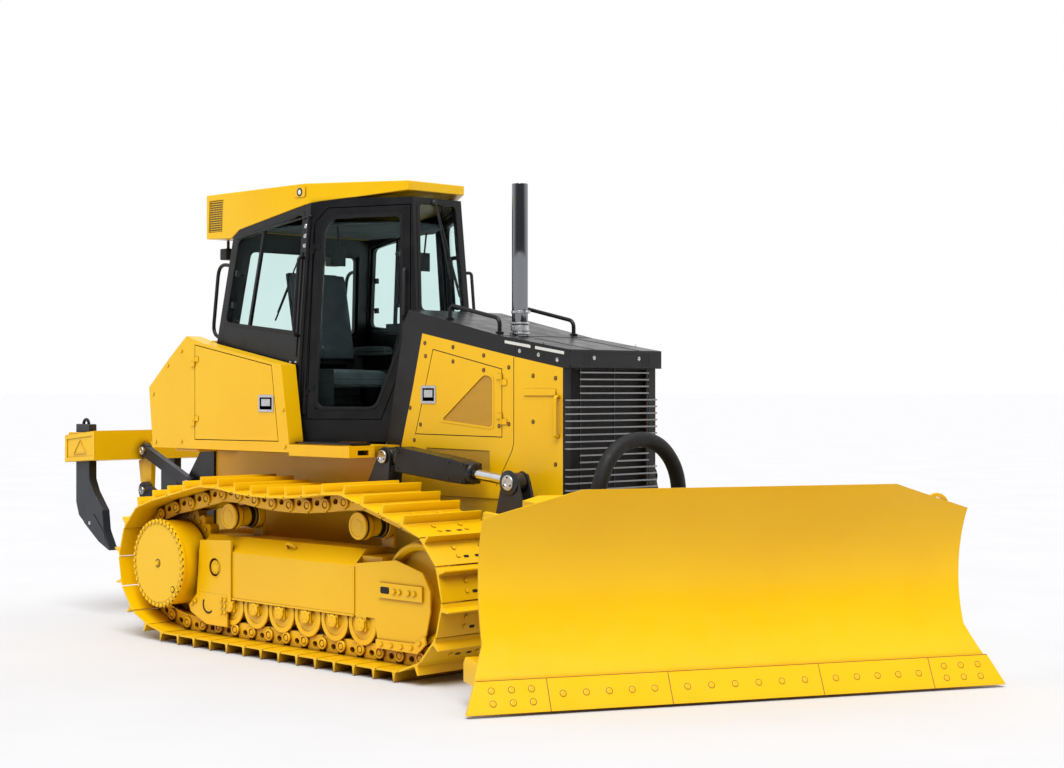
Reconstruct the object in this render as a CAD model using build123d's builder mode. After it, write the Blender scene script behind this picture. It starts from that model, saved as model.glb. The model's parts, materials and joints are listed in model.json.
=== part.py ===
"""Tracked bulldozer with a six-way front blade and a rear ripper, in millimetres.

Stations are measured along the machine from the rearmost grouser that stands on the ground (x),
from the machine's centre plane (y, positive to the machine's left) and from the ground (z).
+X is forward. The model's origin is the middle of the object's outer box, on the ground.
"""
from build123d import *
import math
import os

# ---------------------------------------------------------------- driving dimensions
# tracks
GAUGE = 1880.0               # between the two track centre lines
SHOE_WIDTH = 610.0
SHOE_COUNT = 40
GROUSER = 58.0               # height of a shoe's lug above its plate
SHOE_PLATE = 12.0
SHOE_GAP = 6.0
LINK_HALF = 50.0             # half the height of a chain link, about its pin
RAIL_WIDTH = 40.0
RAIL_SPREAD = 90.0           # chain centre to the middle of each rail
SPROCKET_X, SPROCKET_Z, SPROCKET_PITCH_R = -70.0, 520.0, 365.0
IDLER_X, IDLER_PITCH_R = 2390.0, 373.0
CARRIER_X = (530.0, 1853.0)
CARRIER_Z = (858.0, 865.0)
CARRIER_R = 88.0
CHAIN_SAG = 58.0
ROLLER_X = [310.0 + 267.0 * i for i in range(7)]
ROLLER_R = 108.0

# body
HULL_HALF = 405.0
HULL_REAR, HULL_FRONT = -540.0, 2960.0
HOOD_HALF = 412.0
FENDER_OUT = 860.0
FENDER_IN = 742.0
DECK_Z = 1335.0
PANEL = 25.0
DOOR_GAP = 6.0

# cab, at its floor and at its roof line
CAB_FLOOR_Z, CAB_TOP_Z = 1350.0, 2960.0
CAB_PLAN_FLOOR = ((-240.0, 732.0), (820.0, 732.0), (1530.0, 262.0))
CAB_PLAN_TOP = ((0.0, 600.0), (820.0, 600.0), (1400.0, 600.0 - 580.0 * 470.0 / 710.0))
CAB_WALL = 50.0
STACK_X, STACK_Y, STACK_R = 2386.0, -200.0, 50.0
STACK_Z = (2015.0, 2965.0)
GLASS = 6.0

# C-frame's cross member, with the blade's swivel ahead of it
CROSS_X = (HULL_FRONT + 275.0, HULL_FRONT + 460.0)
CROSS_Z = (420.0, 690.0)
SWIVEL_X, SWIVEL_Z = CROSS_X[1] + 230.0, 590.0

# blade, measured from its swivel
BLADE_ANGLE = 26.5           # left end forward at rest
BLADE_REACH = 695.0          # swivel to the cutting edge
BLADE_HALF = 1600.0
BLADE_REST_Z = 15.0
BLADE_HEIGHT = 1149.0

# C-frame's arms and its lift cylinders
C_PIVOT_X, C_PIVOT_Z = 950.0, 550.0
C_ARM_IN, C_ARM_OUT = 470.0, 600.0
LIFT_REAR = (1580.0, 1267.0)
LIFT_FRONT = (2720.0, 1143.0)
LIFT_Y = 560.0

# ripper
RIPPER_BEAM_HALF = 850.0
RIPPER_REAR, RIPPER_FACE = -1860.0, -1440.0
SHANK_X = (-1810.0, -1620.0)
SHANK_Y = (-757.0, 0.0, 757.0)
SHANK_HALF = 32.0

# clearances
SEAT = 0.3                   # left where one piece rests on or against another
PIN_GAP = 0.3                # left around pins and beside the bosses that carry an eye

# rounds are drawn with flats; on each hinge's axis one of them has a true arc in place of a flat
FLATS = 8                    # a multiple of four, so that a corner points straight down
FINE_FLATS = 16
ARC = 1
CIRCLE = 0

# ---------------------------------------------------------------- frame
TRACK_Y = GAUGE / 2
TRACK_OUT = TRACK_Y + SHOE_WIDTH / 2
PIN_Z = GROUSER + SHOE_PLATE + LINK_HALF
COS_B = math.cos(math.radians(BLADE_ANGLE))
SIN_B = math.sin(math.radians(BLADE_ANGLE))
X_FRONT = SWIVEL_X + BLADE_REACH * COS_B + BLADE_HALF * SIN_B
Y_RIGHT = -BLADE_REACH * SIN_B - BLADE_HALF * COS_B
ORIGIN_X = (X_FRONT + RIPPER_REAR) / 2
ORIGIN_Y = (TRACK_OUT + Y_RIGHT) / 2


def at(x, y, z):
    """A point of the model, from its stations on the machine."""
    return Vector(x - ORIGIN_X, y - ORIGIN_Y, z)


def side(y):
    """Upright plane along the machine: local x is forward, local y is up, extrudes to the right."""
    return Plane(origin=at(0, y, 0), x_dir=(1, 0, 0), z_dir=(0, -1, 0))


def front(x):
    """Upright plane across the machine: local x is to the left, local y is up, extrudes forward."""
    return Plane(origin=at(x, 0, 0), x_dir=(0, 1, 0), z_dir=(1, 0, 0))


def level(z):
    """Flat plane: local x is forward, local y is to the left, extrudes up."""
    return Plane(origin=at(0, 0, z), x_dir=(1, 0, 0), z_dir=(0, 0, 1))


CENTRE = Plane(origin=at(0, 0, 0), z_dir=(0, 1, 0))

os.makedirs("parts", exist_ok=True)


# ---------------------------------------------------------------- shapes used by many pieces
def slab(xs, ys, zs, mode=Mode.ADD):
    """A box between two stations on each axis."""
    middle = at((xs[0] + xs[1]) / 2, (ys[0] + ys[1]) / 2, (zs[0] + zs[1]) / 2)
    with Locations(middle):
        Box(abs(xs[1] - xs[0]), abs(ys[1] - ys[0]), abs(zs[1] - zs[0]), mode=mode)


def plate(outline, y0, y1, mode=Mode.ADD):
    """A side outline of (x, z) corners, drawn out across the machine from y0 to y1."""
    with BuildSketch(side(y0), mode=Mode.PRIVATE) as profile:
        with BuildLine():
            Polyline(*outline, close=True)
        make_face()
    extrude(profile.sketch, amount=y0 - y1, mode=mode)


def disc(radius, sides, hole=False):
    """A round of the open sketch; one with flats stays inside its radius, and as a hole outside it."""
    if sides == CIRCLE:
        Circle(radius)
    elif sides == ARC:
        turns = [2 * math.pi * i / FLATS for i in range(FLATS)]
        corners = [(radius * math.cos(turn), radius * math.sin(turn)) for turn in turns]
        middle = -math.pi / FLATS
        with BuildSketch(mode=Mode.PRIVATE) as shape:
            with BuildLine():
                Polyline(*corners)
                ThreePointArc(corners[-1], (radius * math.cos(middle), radius * math.sin(middle)), corners[0])
            make_face()
        add(shape.sketch)
    else:
        RegularPolygon(radius, sides, major_radius=not hole)


def roll(x, z, radius, y0, y1, mode=Mode.ADD, sides=FLATS):
    """A round drawn out across the machine from y0 to y1."""
    with BuildSketch(side(y0), mode=Mode.PRIVATE) as profile:
        with Locations((x, z)):
            disc(radius, sides, mode == Mode.SUBTRACT)
    extrude(profile.sketch, amount=y0 - y1, mode=mode)


def post(x, y, radius, z0, z1, mode=Mode.ADD, sides=FLATS):
    """A round drawn up from z0 to z1."""
    with BuildSketch(level(z0), mode=Mode.PRIVATE) as profile:
        with Locations((x, y)):
            disc(radius, sides, mode == Mode.SUBTRACT)
    extrude(profile.sketch, amount=z1 - z0, mode=mode)


def lug(x, z, radius, foot, y0, y1):
    """An ear with a round end at (x, z), spreading down to its foot ((x, z), (x, z))."""
    with BuildSketch(side(y0), mode=Mode.PRIVATE) as profile:
        with Locations((x, z)):
            disc(radius, FLATS)
        with BuildLine():
            Polyline((x - radius, z), foot[0], foot[1], (x + radius, z), close=True)
        make_face()
    extrude(profile.sketch, amount=y0 - y1)


KNUCKLE_R = 6.0
KNUCKLE_LONG = 34.0
HINGE_OUT = KNUCKLE_R + 1    # a hinge's axis stands this far off its panel
HINGE_SIDES = (ARC, FLATS)            # lower hinge, upper hinge


def knuckle(base, reach, sides=FLATS):
    """A hinge knuckle: base lies on the panel at the hinge line, local y outward; its leaf runs by reach."""
    with BuildSketch(base, mode=Mode.PRIVATE) as profile:
        with Locations((0, HINGE_OUT)):
            disc(KNUCKLE_R, sides)
        with BuildLine():
            Polyline((0, 1), (0, HINGE_OUT), (reach, 5), (reach, -1), (reach / 3, -1), (reach / 3, 1),
                     close=True)
        make_face()
    return extrude(profile.sketch, amount=KNUCKLE_LONG, mode=Mode.PRIVATE)


def mirrored(solid):
    """The same solid on the machine's other side."""
    return mirror(solid, about=CENTRE, mode=Mode.PRIVATE)


def corner(i, z, out):
    """A point on the cab's outer corner i (0 rear, 1 side, 2 front) at a height, left (+1) or right (-1)."""
    share = (z - CAB_FLOOR_Z) / (CAB_TOP_Z - CAB_FLOOR_Z)
    a, b = CAB_PLAN_FLOOR[i], CAB_PLAN_TOP[i]
    return at(a[0] + (b[0] - a[0]) * share, out * (a[1] + (b[1] - a[1]) * share), z)


def facet(first, second, above):
    """The plane of one cab wall: origin at the first corner, local x to the second, local y upward."""
    along = (second - first).normalized()
    return Plane(origin=first, x_dir=along, z_dir=along.cross(above - first))


# wall planes seen from outside, with the left wall's plane mirrored for the right one
side_wall = facet(corner(1, CAB_FLOOR_Z, 1), corner(0, CAB_FLOOR_Z, 1), corner(1, CAB_TOP_Z, 1))
door_wall = facet(corner(2, CAB_FLOOR_Z, 1), corner(1, CAB_FLOOR_Z, 1), corner(2, CAB_TOP_Z, 1))
front_wall = facet(corner(2, CAB_FLOOR_Z, -1), corner(2, CAB_FLOOR_Z, 1), corner(2, CAB_TOP_Z, -1))
rear_wall = facet(corner(0, CAB_FLOOR_Z, 1), corner(0, CAB_FLOOR_Z, -1), corner(0, CAB_TOP_Z, 1))


def cab_block(z0, z1, inset=0.0):
    """The cab's outer form between two heights, its walls moved inward by an inset."""
    with BuildPart(mode=Mode.PRIVATE) as block:
        slab((-600, 1700), (-900, 900), (z0, z1))
        for wall in (side_wall, door_wall, front_wall, rear_wall):
            split(bisect_by=wall.offset(-inset), keep=Keep.BOTTOM)
        add(mirrored(block.part), mode=Mode.INTERSECT)
    return block.part


# ---------------------------------------------------------------- tracks
def tangent_point(x, z, cx, cz, radius, turn):
    """Where a straight run from (x, z) meets a circle; turn picks the side, +1 or -1."""
    dist = math.hypot(cx - x, cz - z)
    heading = math.atan2(cz - z, cx - x) + turn * math.asin(radius / dist)
    run = math.sqrt(dist ** 2 - radius ** 2)
    return x + run * math.cos(heading), z + run * math.sin(heading)


CARRIER_PIN_Z = [z + CARRIER_R + LINK_HALF + 22 for z in CARRIER_Z]
IDLER_Z = PIN_Z + IDLER_PITCH_R
GROUND_REAR_X = 60.0
idler_on = (IDLER_X, PIN_Z)
idler_off = tangent_point(CARRIER_X[1], CARRIER_PIN_Z[1], IDLER_X, IDLER_Z, IDLER_PITCH_R, 1)
sprocket_on = tangent_point(CARRIER_X[0], CARRIER_PIN_Z[0], SPROCKET_X, SPROCKET_Z, SPROCKET_PITCH_R, -1)
sprocket_off = tangent_point(GROUND_REAR_X, PIN_Z, SPROCKET_X, SPROCKET_Z, SPROCKET_PITCH_R, 1)
sag_x = (CARRIER_X[0] + CARRIER_X[1]) / 2
sag_z = sum(CARRIER_PIN_Z) / 2 - CHAIN_SAG

with BuildLine() as pin_line:
    ground = Line((GROUND_REAR_X, PIN_Z), idler_on)
    nose = ThreePointArc(idler_on, (IDLER_X + IDLER_PITCH_R, IDLER_Z), idler_off)
    drop = Line(idler_off, (CARRIER_X[1], CARRIER_PIN_Z[1]))
    sag = ThreePointArc((CARRIER_X[1], CARRIER_PIN_Z[1]), (sag_x, sag_z), (CARRIER_X[0], CARRIER_PIN_Z[0]))
    climb = Line((CARRIER_X[0], CARRIER_PIN_Z[0]), sprocket_on)
    tail = ThreePointArc(sprocket_on, (SPROCKET_X - SPROCKET_PITCH_R, SPROCKET_Z), sprocket_off)
    rise = Line(sprocket_off, (GROUND_REAR_X, PIN_Z))
loop = pin_line.wire()
PITCH = loop.length / SHOE_COUNT
pins = [loop.position_at(i / SHOE_COUNT) for i in range(SHOE_COUNT)]


def offset_pins(distance):
    """The corners of the chain's outline, set off from its pins; outward is positive."""
    corners = []
    for i, pin in enumerate(pins):
        before = (pin - pins[i - 1]).normalized()
        after = (pins[(i + 1) % SHOE_COUNT] - pin).normalized()
        along = (before + after).normalized()
        outward = Vector(along.Y, -along.X)
        corners.append(pin + outward * (distance / along.dot(after)))
    return [(c.X, c.Y) for c in corners]


def make_track(y):
    """One endless track: its shoes with their grousers, held together by two chain rails."""
    half = PITCH / 2 - SHOE_GAP / 2
    top = LINK_HALF + SHOE_PLATE
    tip = top + GROUSER
    lug_x = -half + 20                 # the grouser stands near the shoe's leading edge
    with BuildPart() as track:
        with BuildSketch(side(y)):
            for i, pin in enumerate(pins):
                after = pins[(i + 1) % SHOE_COUNT]
                middle = (pin + after) / 2
                angle = math.degrees(math.atan2(after.Y - pin.Y, after.X - pin.X))
                with Locations(Location((middle.X, middle.Y, 0), (0, 0, angle + 180))):
                    Polygon(
                        (-half, LINK_HALF), (half, LINK_HALF), (half, top),
                        (lug_x + 12, top), (lug_x + 6, tip), (lug_x - 6, tip), (-half, top),
                        align=None,
                    )
        extrude(amount=SHOE_WIDTH / 2, both=True)
        for rail_y in (y - RAIL_SPREAD, y + RAIL_SPREAD):
            with BuildSketch(side(rail_y)):
                with BuildLine():
                    Polyline(*offset_pins(LINK_HALF), close=True)
                make_face()
                with BuildLine():
                    Polyline(*offset_pins(-LINK_HALF), close=True)
                make_face(mode=Mode.SUBTRACT)
            extrude(amount=RAIL_WIDTH / 2, both=True)
    return track


track_left = make_track(TRACK_Y)
track_left.part.label = "track_left"
export_step(track_left.part, "parts/track_left.step")

track_right = make_track(-TRACK_Y)
track_right.part.label = "track_right"
export_step(track_right.part, "parts/track_right.step")

# ---------------------------------------------------------------- wheels inside the tracks
FLANGE = 22.0
RAIL_IN = RAIL_SPREAD - RAIL_WIDTH / 2       # chain centre to the inner face of a rail
RAIL_OUT = RAIL_SPREAD + RAIL_WIDTH / 2
ROLLER_WAIST_R = 62.0
ROLLER_Z = PIN_Z + LINK_HALF + SEAT + ROLLER_R
ROLLER_PIN_R = 32.0
IDLER_R = 300.0
IDLER_HALF = 105.0
BEAM_IN, BEAM_OUT = 795.0, 1080.0            # track frame's two faces
PLATE_T = 10.0
ROLLER_IN = BEAM_IN + PLATE_T + PIN_GAP - TRACK_Y
ROLLER_OUT = BEAM_OUT - PLATE_T - PIN_GAP - TRACK_Y
CARRIER_HALF = 120.0

with BuildPart() as rollers:
    for x in ROLLER_X:
        roll(x, ROLLER_Z, ROLLER_WAIST_R, TRACK_Y - RAIL_IN, TRACK_Y + RAIL_IN)
        roll(x, ROLLER_Z, ROLLER_R, TRACK_Y + ROLLER_IN, TRACK_Y - RAIL_IN + 10)
        roll(x, ROLLER_Z, ROLLER_R, TRACK_Y + RAIL_IN - 10, TRACK_Y + ROLLER_OUT)
        roll(x, ROLLER_Z, ROLLER_R + FLANGE, TRACK_Y + RAIL_OUT + 4, TRACK_Y + ROLLER_OUT)
    for x, z in zip(CARRIER_X, CARRIER_Z):
        roll(x, z, CARRIER_R, TRACK_Y - CARRIER_HALF, TRACK_Y + CARRIER_HALF)
    roll(IDLER_X, IDLER_Z, IDLER_R, TRACK_Y - IDLER_HALF, TRACK_Y + IDLER_HALF, sides=FINE_FLATS)
    roll(IDLER_X, IDLER_Z, IDLER_R - 45, TRACK_Y + 45, TRACK_Y + IDLER_HALF + 1, Mode.SUBTRACT)
    roll(IDLER_X, IDLER_Z, 90, TRACK_Y + 40, TRACK_Y + IDLER_HALF + 7)
    mirror(about=CENTRE)
rollers.part.label = "rollers"
export_step(rollers.part, "parts/rollers.step")

DRUM_R = 285.0
DRUM_OUT = 1185.0
SPROCKET_TEETH = 25
TOOTH = 30.0                 # depth of the sprocket's teeth
SPROCKET_HALF = 34.0


def sprocket_corners():
    """The sprocket's outline: a flat tip and a hollow for a chain pin, once for each tooth."""
    corners = []
    step = 2 * math.pi / SPROCKET_TEETH
    tip = SPROCKET_PITCH_R + 8
    for i in range(SPROCKET_TEETH):
        for share, radius in ((-0.13, tip), (0.13, tip), (0.5, tip - TOOTH)):
            turn = (i + share) * step
            corners.append((SPROCKET_X + radius * math.cos(turn), SPROCKET_Z + radius * math.sin(turn)))
    return corners


with BuildPart() as final_drives:
    plate(sprocket_corners(), TRACK_Y + SPROCKET_HALF, TRACK_Y - SPROCKET_HALF)
    roll(SPROCKET_X, SPROCKET_Z, DRUM_R, TRACK_Y + SPROCKET_HALF, DRUM_OUT, sides=FINE_FLATS)
    roll(SPROCKET_X, SPROCKET_Z, DRUM_R + 14, DRUM_OUT, DRUM_OUT + 22, sides=FINE_FLATS)
    roll(SPROCKET_X, SPROCKET_Z, 200, HULL_HALF, TRACK_Y - SPROCKET_HALF)
    mirror(about=CENTRE)
final_drives.part.label = "final_drives"
export_step(final_drives.part, "parts/final_drives.step")

# ---------------------------------------------------------------- track frames
BEAM_X = (225.0, 1850.0)
SKIRT_Z, BEAM_FLOOR_Z, BEVEL_Z, BEAM_TOP_Z = 325.0, 430.0, 625.0, 722.0
FORK_X = 2040.0
PORT, PORT_R = (422.0, 518.0), 62.0          # hand hole in the rear plate
FORK_OUTLINE = ((1850, 325), (2040, 325), (2066, 203), (2420, 203), (2500, 262), (2537, 400), (2537, 520),
                (2468, 625), (2330, 660), (2230, 684), (1850, 640))

with BuildPart() as track_frame_left:
    with BuildSketch(front(BEAM_X[0])):
        with BuildLine():
            Polyline((BEAM_IN, BEAM_FLOOR_Z), (BEAM_OUT, BEAM_FLOOR_Z), (BEAM_OUT, BEVEL_Z),
                     (BEAM_OUT - 95, BEAM_TOP_Z), (BEAM_IN, BEAM_TOP_Z), close=True)
        make_face()
    extrude(amount=BEAM_X[1] - BEAM_X[0])
    plate(((1850, BEAM_FLOOR_Z), (FORK_X, BEAM_FLOOR_Z), (FORK_X, 684), (1850, 684)), BEAM_IN, BEAM_OUT - 60)
    hanger_z = ROLLER_Z - ROLLER_PIN_R - 8
    for y0, y1 in ((BEAM_IN, BEAM_IN + PLATE_T), (BEAM_OUT - PLATE_T, BEAM_OUT)):
        slab((BEAM_X[0], 1850), (y0, y1), (SKIRT_Z, BEAM_FLOOR_Z + 5))
        plate(FORK_OUTLINE, y0, y1)
    for x in ROLLER_X:
        slab((x - 48, x + 48), (BEAM_OUT - PLATE_T, BEAM_OUT), (hanger_z, SKIRT_Z + 5))
    slab((ROLLER_X[0] - 48, ROLLER_X[-1] + 48), (BEAM_IN, BEAM_IN + PLATE_T), (hanger_z, SKIRT_Z + 5))
    slab((1850, FORK_X), (BEAM_IN, BEAM_OUT), (BEAM_FLOOR_Z, 640))
    plate(((211, 284), (600, 284), (600, 705), (255, 690)), BEAM_OUT - 5, BEAM_OUT + 12)
    roll(PORT[0], PORT[1], PORT_R, BEAM_OUT - 8, BEAM_OUT + 13, Mode.SUBTRACT)
    plate(((129, 250), (240, 345), (560, 345), (560, 136), (330, 136), (150, 205)), BEAM_OUT, BEAM_OUT + 14)
    plate(((2066, 153), (2440, 153), (2510, 212), (2500, 262), (2410, 210), (2066, 205)),
          BEAM_OUT, BEAM_OUT + 14)
    plate(((2090, 455), (2480, 455), (2480, 545), (2090, 545)), BEAM_OUT, BEAM_OUT + 14)
    for x, z in zip(CARRIER_X, CARRIER_Z):
        roll(x, z, 34, BEAM_IN + 10, TRACK_Y - CARRIER_HALF)
        slab((x - 55, x + 55), (BEAM_IN, BEAM_IN + 22), (BEAM_TOP_Z, z + 40))
    roll(IDLER_X, IDLER_Z, 45, BEAM_IN, TRACK_Y - IDLER_HALF)
    roll(IDLER_X, IDLER_Z, 45, TRACK_Y + IDLER_HALF + 7, BEAM_OUT)
    roll(SPROCKET_X, SPROCKET_Z, SPROCKET_PITCH_R + 20, TRACK_Y - 50, TRACK_Y + 45, Mode.SUBTRACT,
         sides=FINE_FLATS)
    roll(350, 560, 85, HULL_HALF, BEAM_IN)
    slab((690, 830), (HULL_HALF, BEAM_IN), (480, 640))
track_frame_left.part.label = "track_frame_left"
export_step(track_frame_left.part, "parts/track_frame_left.step")

with BuildPart() as track_frame_right:
    mirror(track_frame_left.part, about=CENTRE)
track_frame_right.part.label = "track_frame_right"
export_step(track_frame_right.part, "parts/track_frame_right.step")

# ---------------------------------------------------------------- hull
HULL_TOP, HULL_SHOULDER = 1025.0, 1255.0     # under the engine, and under the cab
C_PIN_R = 44.0
HULL_OUTLINE = ((HULL_REAR, 1250), (HULL_REAR, 720), (-380, 430), (150, 385), (2350, 385), (2850, 480),
                (HULL_FRONT, 620), (HULL_FRONT, HULL_TOP), (1490, HULL_TOP), (1490, HULL_SHOULDER),
                (-300, HULL_SHOULDER))
with BuildPart() as hull:
    plate(HULL_OUTLINE, HULL_HALF, -HULL_HALF)
    for out in (-1, 1):
        roll(C_PIVOT_X, C_PIVOT_Z, 95, out * HULL_HALF, out * (C_ARM_IN - PIN_GAP))
        roll(C_PIVOT_X, C_PIVOT_Z, C_PIN_R, out * (C_ARM_IN - PIN_GAP), out * (C_ARM_OUT + 12), sides=ARC)
hull.part.label = "hull"
export_step(hull.part, "parts/hull.step")

LIFT_EAR = 34.0              # half the thickness of a lift cylinder's eye
EAR_GAP = 4.0                # between an eye and the ears beside it
EAR_T = 20.0
with BuildPart() as lift_brackets:
    for out in (-1, 1):
        boss, inner, outer = [LIFT_Y + out * (LIFT_EAR + d) for d in (PIN_GAP, EAR_GAP, EAR_GAP + EAR_T)]
        lug(LIFT_REAR[0], LIFT_REAR[1], 62, ((1330, 940), (1600, 940)), inner, outer)
        roll(LIFT_REAR[0], LIFT_REAR[1], 40, boss, inner)
    slab((1330, 1640), (HULL_HALF, LIFT_Y + LIFT_EAR + EAR_GAP + EAR_T), (940, 990))
    roll(LIFT_REAR[0], LIFT_REAR[1], 30, LIFT_Y + LIFT_EAR + 24, LIFT_Y + LIFT_EAR + 34, sides=ARC)
    mirror(about=CENTRE)
lift_brackets.part.label = "lift_brackets"
export_step(lift_brackets.part, "parts/lift_brackets.step")

# ---------------------------------------------------------------- engine and radiator
with BuildPart() as engine:
    slab((1700, 2600), (-310, 310), (HULL_TOP + SEAT, 1700))
engine.part.label = "engine"
export_step(engine.part, "parts/engine.step")

with BuildPart() as radiator:
    slab((2740, 2880), (-360, 360), (HULL_TOP + SEAT, 1800))
radiator.part.label = "radiator"
export_step(radiator.part, "parts/radiator.step")

# ---------------------------------------------------------------- hood
HOOD_TOP = ((1550, 2205), (1761, 2166), (2432, 2021), (3012, 1929))
HOOD_FOOT = HULL_TOP + SEAT
HOOD_NOSE = HOOD_TOP[-1][0]
# where the dark trim meets the painted sides: up the cowl, then along under the top
TRIM_LINE = ((1513, 1328), (1623, 1695), (1717, 2050), (2540, 1894), (HULL_FRONT, 1820))
HOOD_OUTLINE = ((1513, HOOD_FOOT), (HULL_FRONT, HOOD_FOOT), *reversed(TRIM_LINE))
TRIM_OUTLINE = ((1350, HULL_SHOULDER + SEAT), (1513 - SEAT, HULL_SHOULDER + SEAT),
                *[(x - SEAT, z + SEAT) for x, z in TRIM_LINE], (HOOD_NOSE, 1820 + SEAT), *reversed(HOOD_TOP[1:]),
                (1590, 2205), (1545, 2140))
HOOD_INSIDE = ((1600, 1020), (2935, 1020), (2935, 1850), (2432, 1960), (1761, 2100), (1600, 2100))
DOOR_OUTLINE = ((1655, 1412), (2442, 1406), (2441, 1815), (1820, 1943))
DOOR_VENT = ((1892, 1498), (2365, 1457), (2365, 1769), (2288, 1789))
LOWER_VENT = ((1740, 1160), (2340, 1160), (2337, 1318), (1759, 1324))
VENT_DEEP = 6.0
HOOD_HINGE_X = 2445.0
HOOD_HINGE_Z = (1480.0, 1720.0)


def hood_top(x):
    """Height of the hood's top over the engine."""
    (x0, z0), (x1, z1) = HOOD_TOP[1], HOOD_TOP[2]
    return z0 + (x - x0) * (z1 - z0) / (x1 - x0)


def grow(outline, distance):
    """An outline set off outward by a distance."""
    with BuildSketch() as shape:
        with BuildLine():
            Polyline(*outline, close=True)
        make_face()
        offset(amount=distance, kind=Kind.INTERSECTION)
    return shape.sketch


def hood_hinge(z):
    """Where a left hood door's hinge meets the hood's side at a height: local y outward."""
    return Plane(origin=at(HOOD_HINGE_X, HOOD_HALF, z), x_dir=(1, 0, 0), z_dir=(0, 0, 1))


with BuildPart() as hood:
    plate(HOOD_OUTLINE, HOOD_HALF, -HOOD_HALF)
    plate(HOOD_INSIDE, HOOD_HALF - PANEL, PANEL - HOOD_HALF, Mode.SUBTRACT)
    with BuildSketch(side(HOOD_HALF + 1)):
        add(grow(DOOR_OUTLINE, DOOR_GAP))
    extrude(amount=2 * HOOD_HALF + 2, mode=Mode.SUBTRACT)
    for out in (-1, 1):
        plate(LOWER_VENT, out * (HOOD_HALF - VENT_DEEP), out * (HOOD_HALF + 1), Mode.SUBTRACT)
    slab((2930, 2970), (-360, 360), (HULL_TOP, 1814), Mode.SUBTRACT)
    add(cab_block(1100, 2400, -DOOR_GAP), mode=Mode.SUBTRACT)
    for z in HOOD_HINGE_Z:
        fixed = knuckle(hood_hinge(z), 45)
        add([fixed, mirrored(fixed)])
hood.part.label = "hood"
export_step(hood.part, "parts/hood.step")

SLOT_Y = [out * (230 + 22 * i) for out in (-1, 1) for i in range(4)]
with BuildPart() as hood_trim:
    plate(TRIM_OUTLINE, HOOD_HALF, -HOOD_HALF)
    plate(HOOD_INSIDE, HOOD_HALF - PANEL, PANEL - HOOD_HALF, Mode.SUBTRACT)
    post(STACK_X, STACK_Y, STACK_R + SEAT, 1900, 2200, Mode.SUBTRACT)
    for y in SLOT_Y:
        slab((HOOD_NOSE - 12, HOOD_NOSE + 1), (y - 5, y + 5), (1840, 1905), Mode.SUBTRACT)
    add(cab_block(1100, 2400, -DOOR_GAP), mode=Mode.SUBTRACT)
hood_trim.part.label = "hood_trim"
export_step(hood_trim.part, "parts/hood_trim.step")

with BuildPart() as hood_door_left:
    plate(DOOR_OUTLINE, HOOD_HALF, HOOD_HALF - PANEL)
    plate(DOOR_VENT, HOOD_HALF + 1, HOOD_HALF - VENT_DEEP, Mode.SUBTRACT)
    for z, sides in zip(HOOD_HINGE_Z, HINGE_SIDES):
        add(knuckle(hood_hinge(z + KNUCKLE_LONG + PIN_GAP), -45, sides))
hood_door_left.part.label = "hood_door_left"
export_step(hood_door_left.part, "parts/hood_door_left.step")

with BuildPart() as hood_door_right:
    mirror(hood_door_left.part, about=CENTRE)
hood_door_right.part.label = "hood_door_right"
export_step(hood_door_right.part, "parts/hood_door_right.step")

GRILLE_X = HULL_FRONT + SEAT
GRILLE_FRONT = HOOD_NOSE - 8
GRILLE_HALF, GRILLE_NARROW = 398.0, 305.0
GRILLE_PITCH, GRILLE_BAR = 41.0, 9.0
GRILLE_LOW = 1092.0
GRILLE_ROWS = 18
NARROW_ROWS = (4, 5, 14, 15, 16, 17)         # rows, from the bottom, that don't wrap round to the sides
DIVIDER_Y = (8 - GRILLE_NARROW, 0, GRILLE_NARROW - 8)

with BuildPart() as grille:
    for row in range(GRILLE_ROWS):
        z = GRILLE_LOW + GRILLE_PITCH * row
        half = GRILLE_NARROW if row in NARROW_ROWS else GRILLE_HALF
        slab((GRILLE_FRONT - GRILLE_BAR, GRILLE_FRONT), (-half, half), (z, z + GRILLE_BAR))
        if row not in NARROW_ROWS:
            for out in (-1, 1):
                slab((GRILLE_X, GRILLE_FRONT - GRILLE_BAR), (out * (half - GRILLE_BAR), out * half),
                     (z, z + GRILLE_BAR))
    for y in DIVIDER_Y:
        slab((GRILLE_FRONT - 2 * GRILLE_BAR, GRILLE_FRONT - GRILLE_BAR), (y - 5, y + 5),
             (GRILLE_LOW - 6, 1820))
grille.part.label = "grille"
export_step(grille.part, "parts/grille.step")

with BuildPart() as exhaust_stack:
    post(STACK_X, STACK_Y, STACK_R, STACK_Z[0], STACK_Z[1], sides=FINE_FLATS)
    post(STACK_X, STACK_Y, STACK_R - 4, STACK_Z[1] - 90, STACK_Z[1] + 1, Mode.SUBTRACT, sides=FINE_FLATS)
exhaust_stack.part.label = "exhaust_stack"
export_step(exhaust_stack.part, "parts/exhaust_stack.step")

# ---------------------------------------------------------------- fenders, deck and rear tank
FENDER_OUTLINE = ((-662, 1282), (-709, 1708), (-456, 1910), (-245, 2063), (-22, 2004), (834, 1854),
                  (917, 1346), (917, 1282))
FENDER_DOOR = ((-140, 1350), (800, 1356), (726, 1848), (-140, 1996))
DECK_X = (-662.0, 1531.0)
LID = 20.0
FENDER_HINGE_Z = (1440.0, 1850.0)
DECK_HOLE_Y, DECK_HOLE_Z = (700.0, 790.0), (1276.0, 1308.0)


def fender_hinge(z):
    """Where the left fender door's hinge meets the fender's side at a height: local y outward."""
    return Plane(origin=at(FENDER_DOOR[0][0] - DOOR_GAP / 2, FENDER_OUT, z), x_dir=(1, 0, 0), z_dir=(0, 0, 1))


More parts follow.
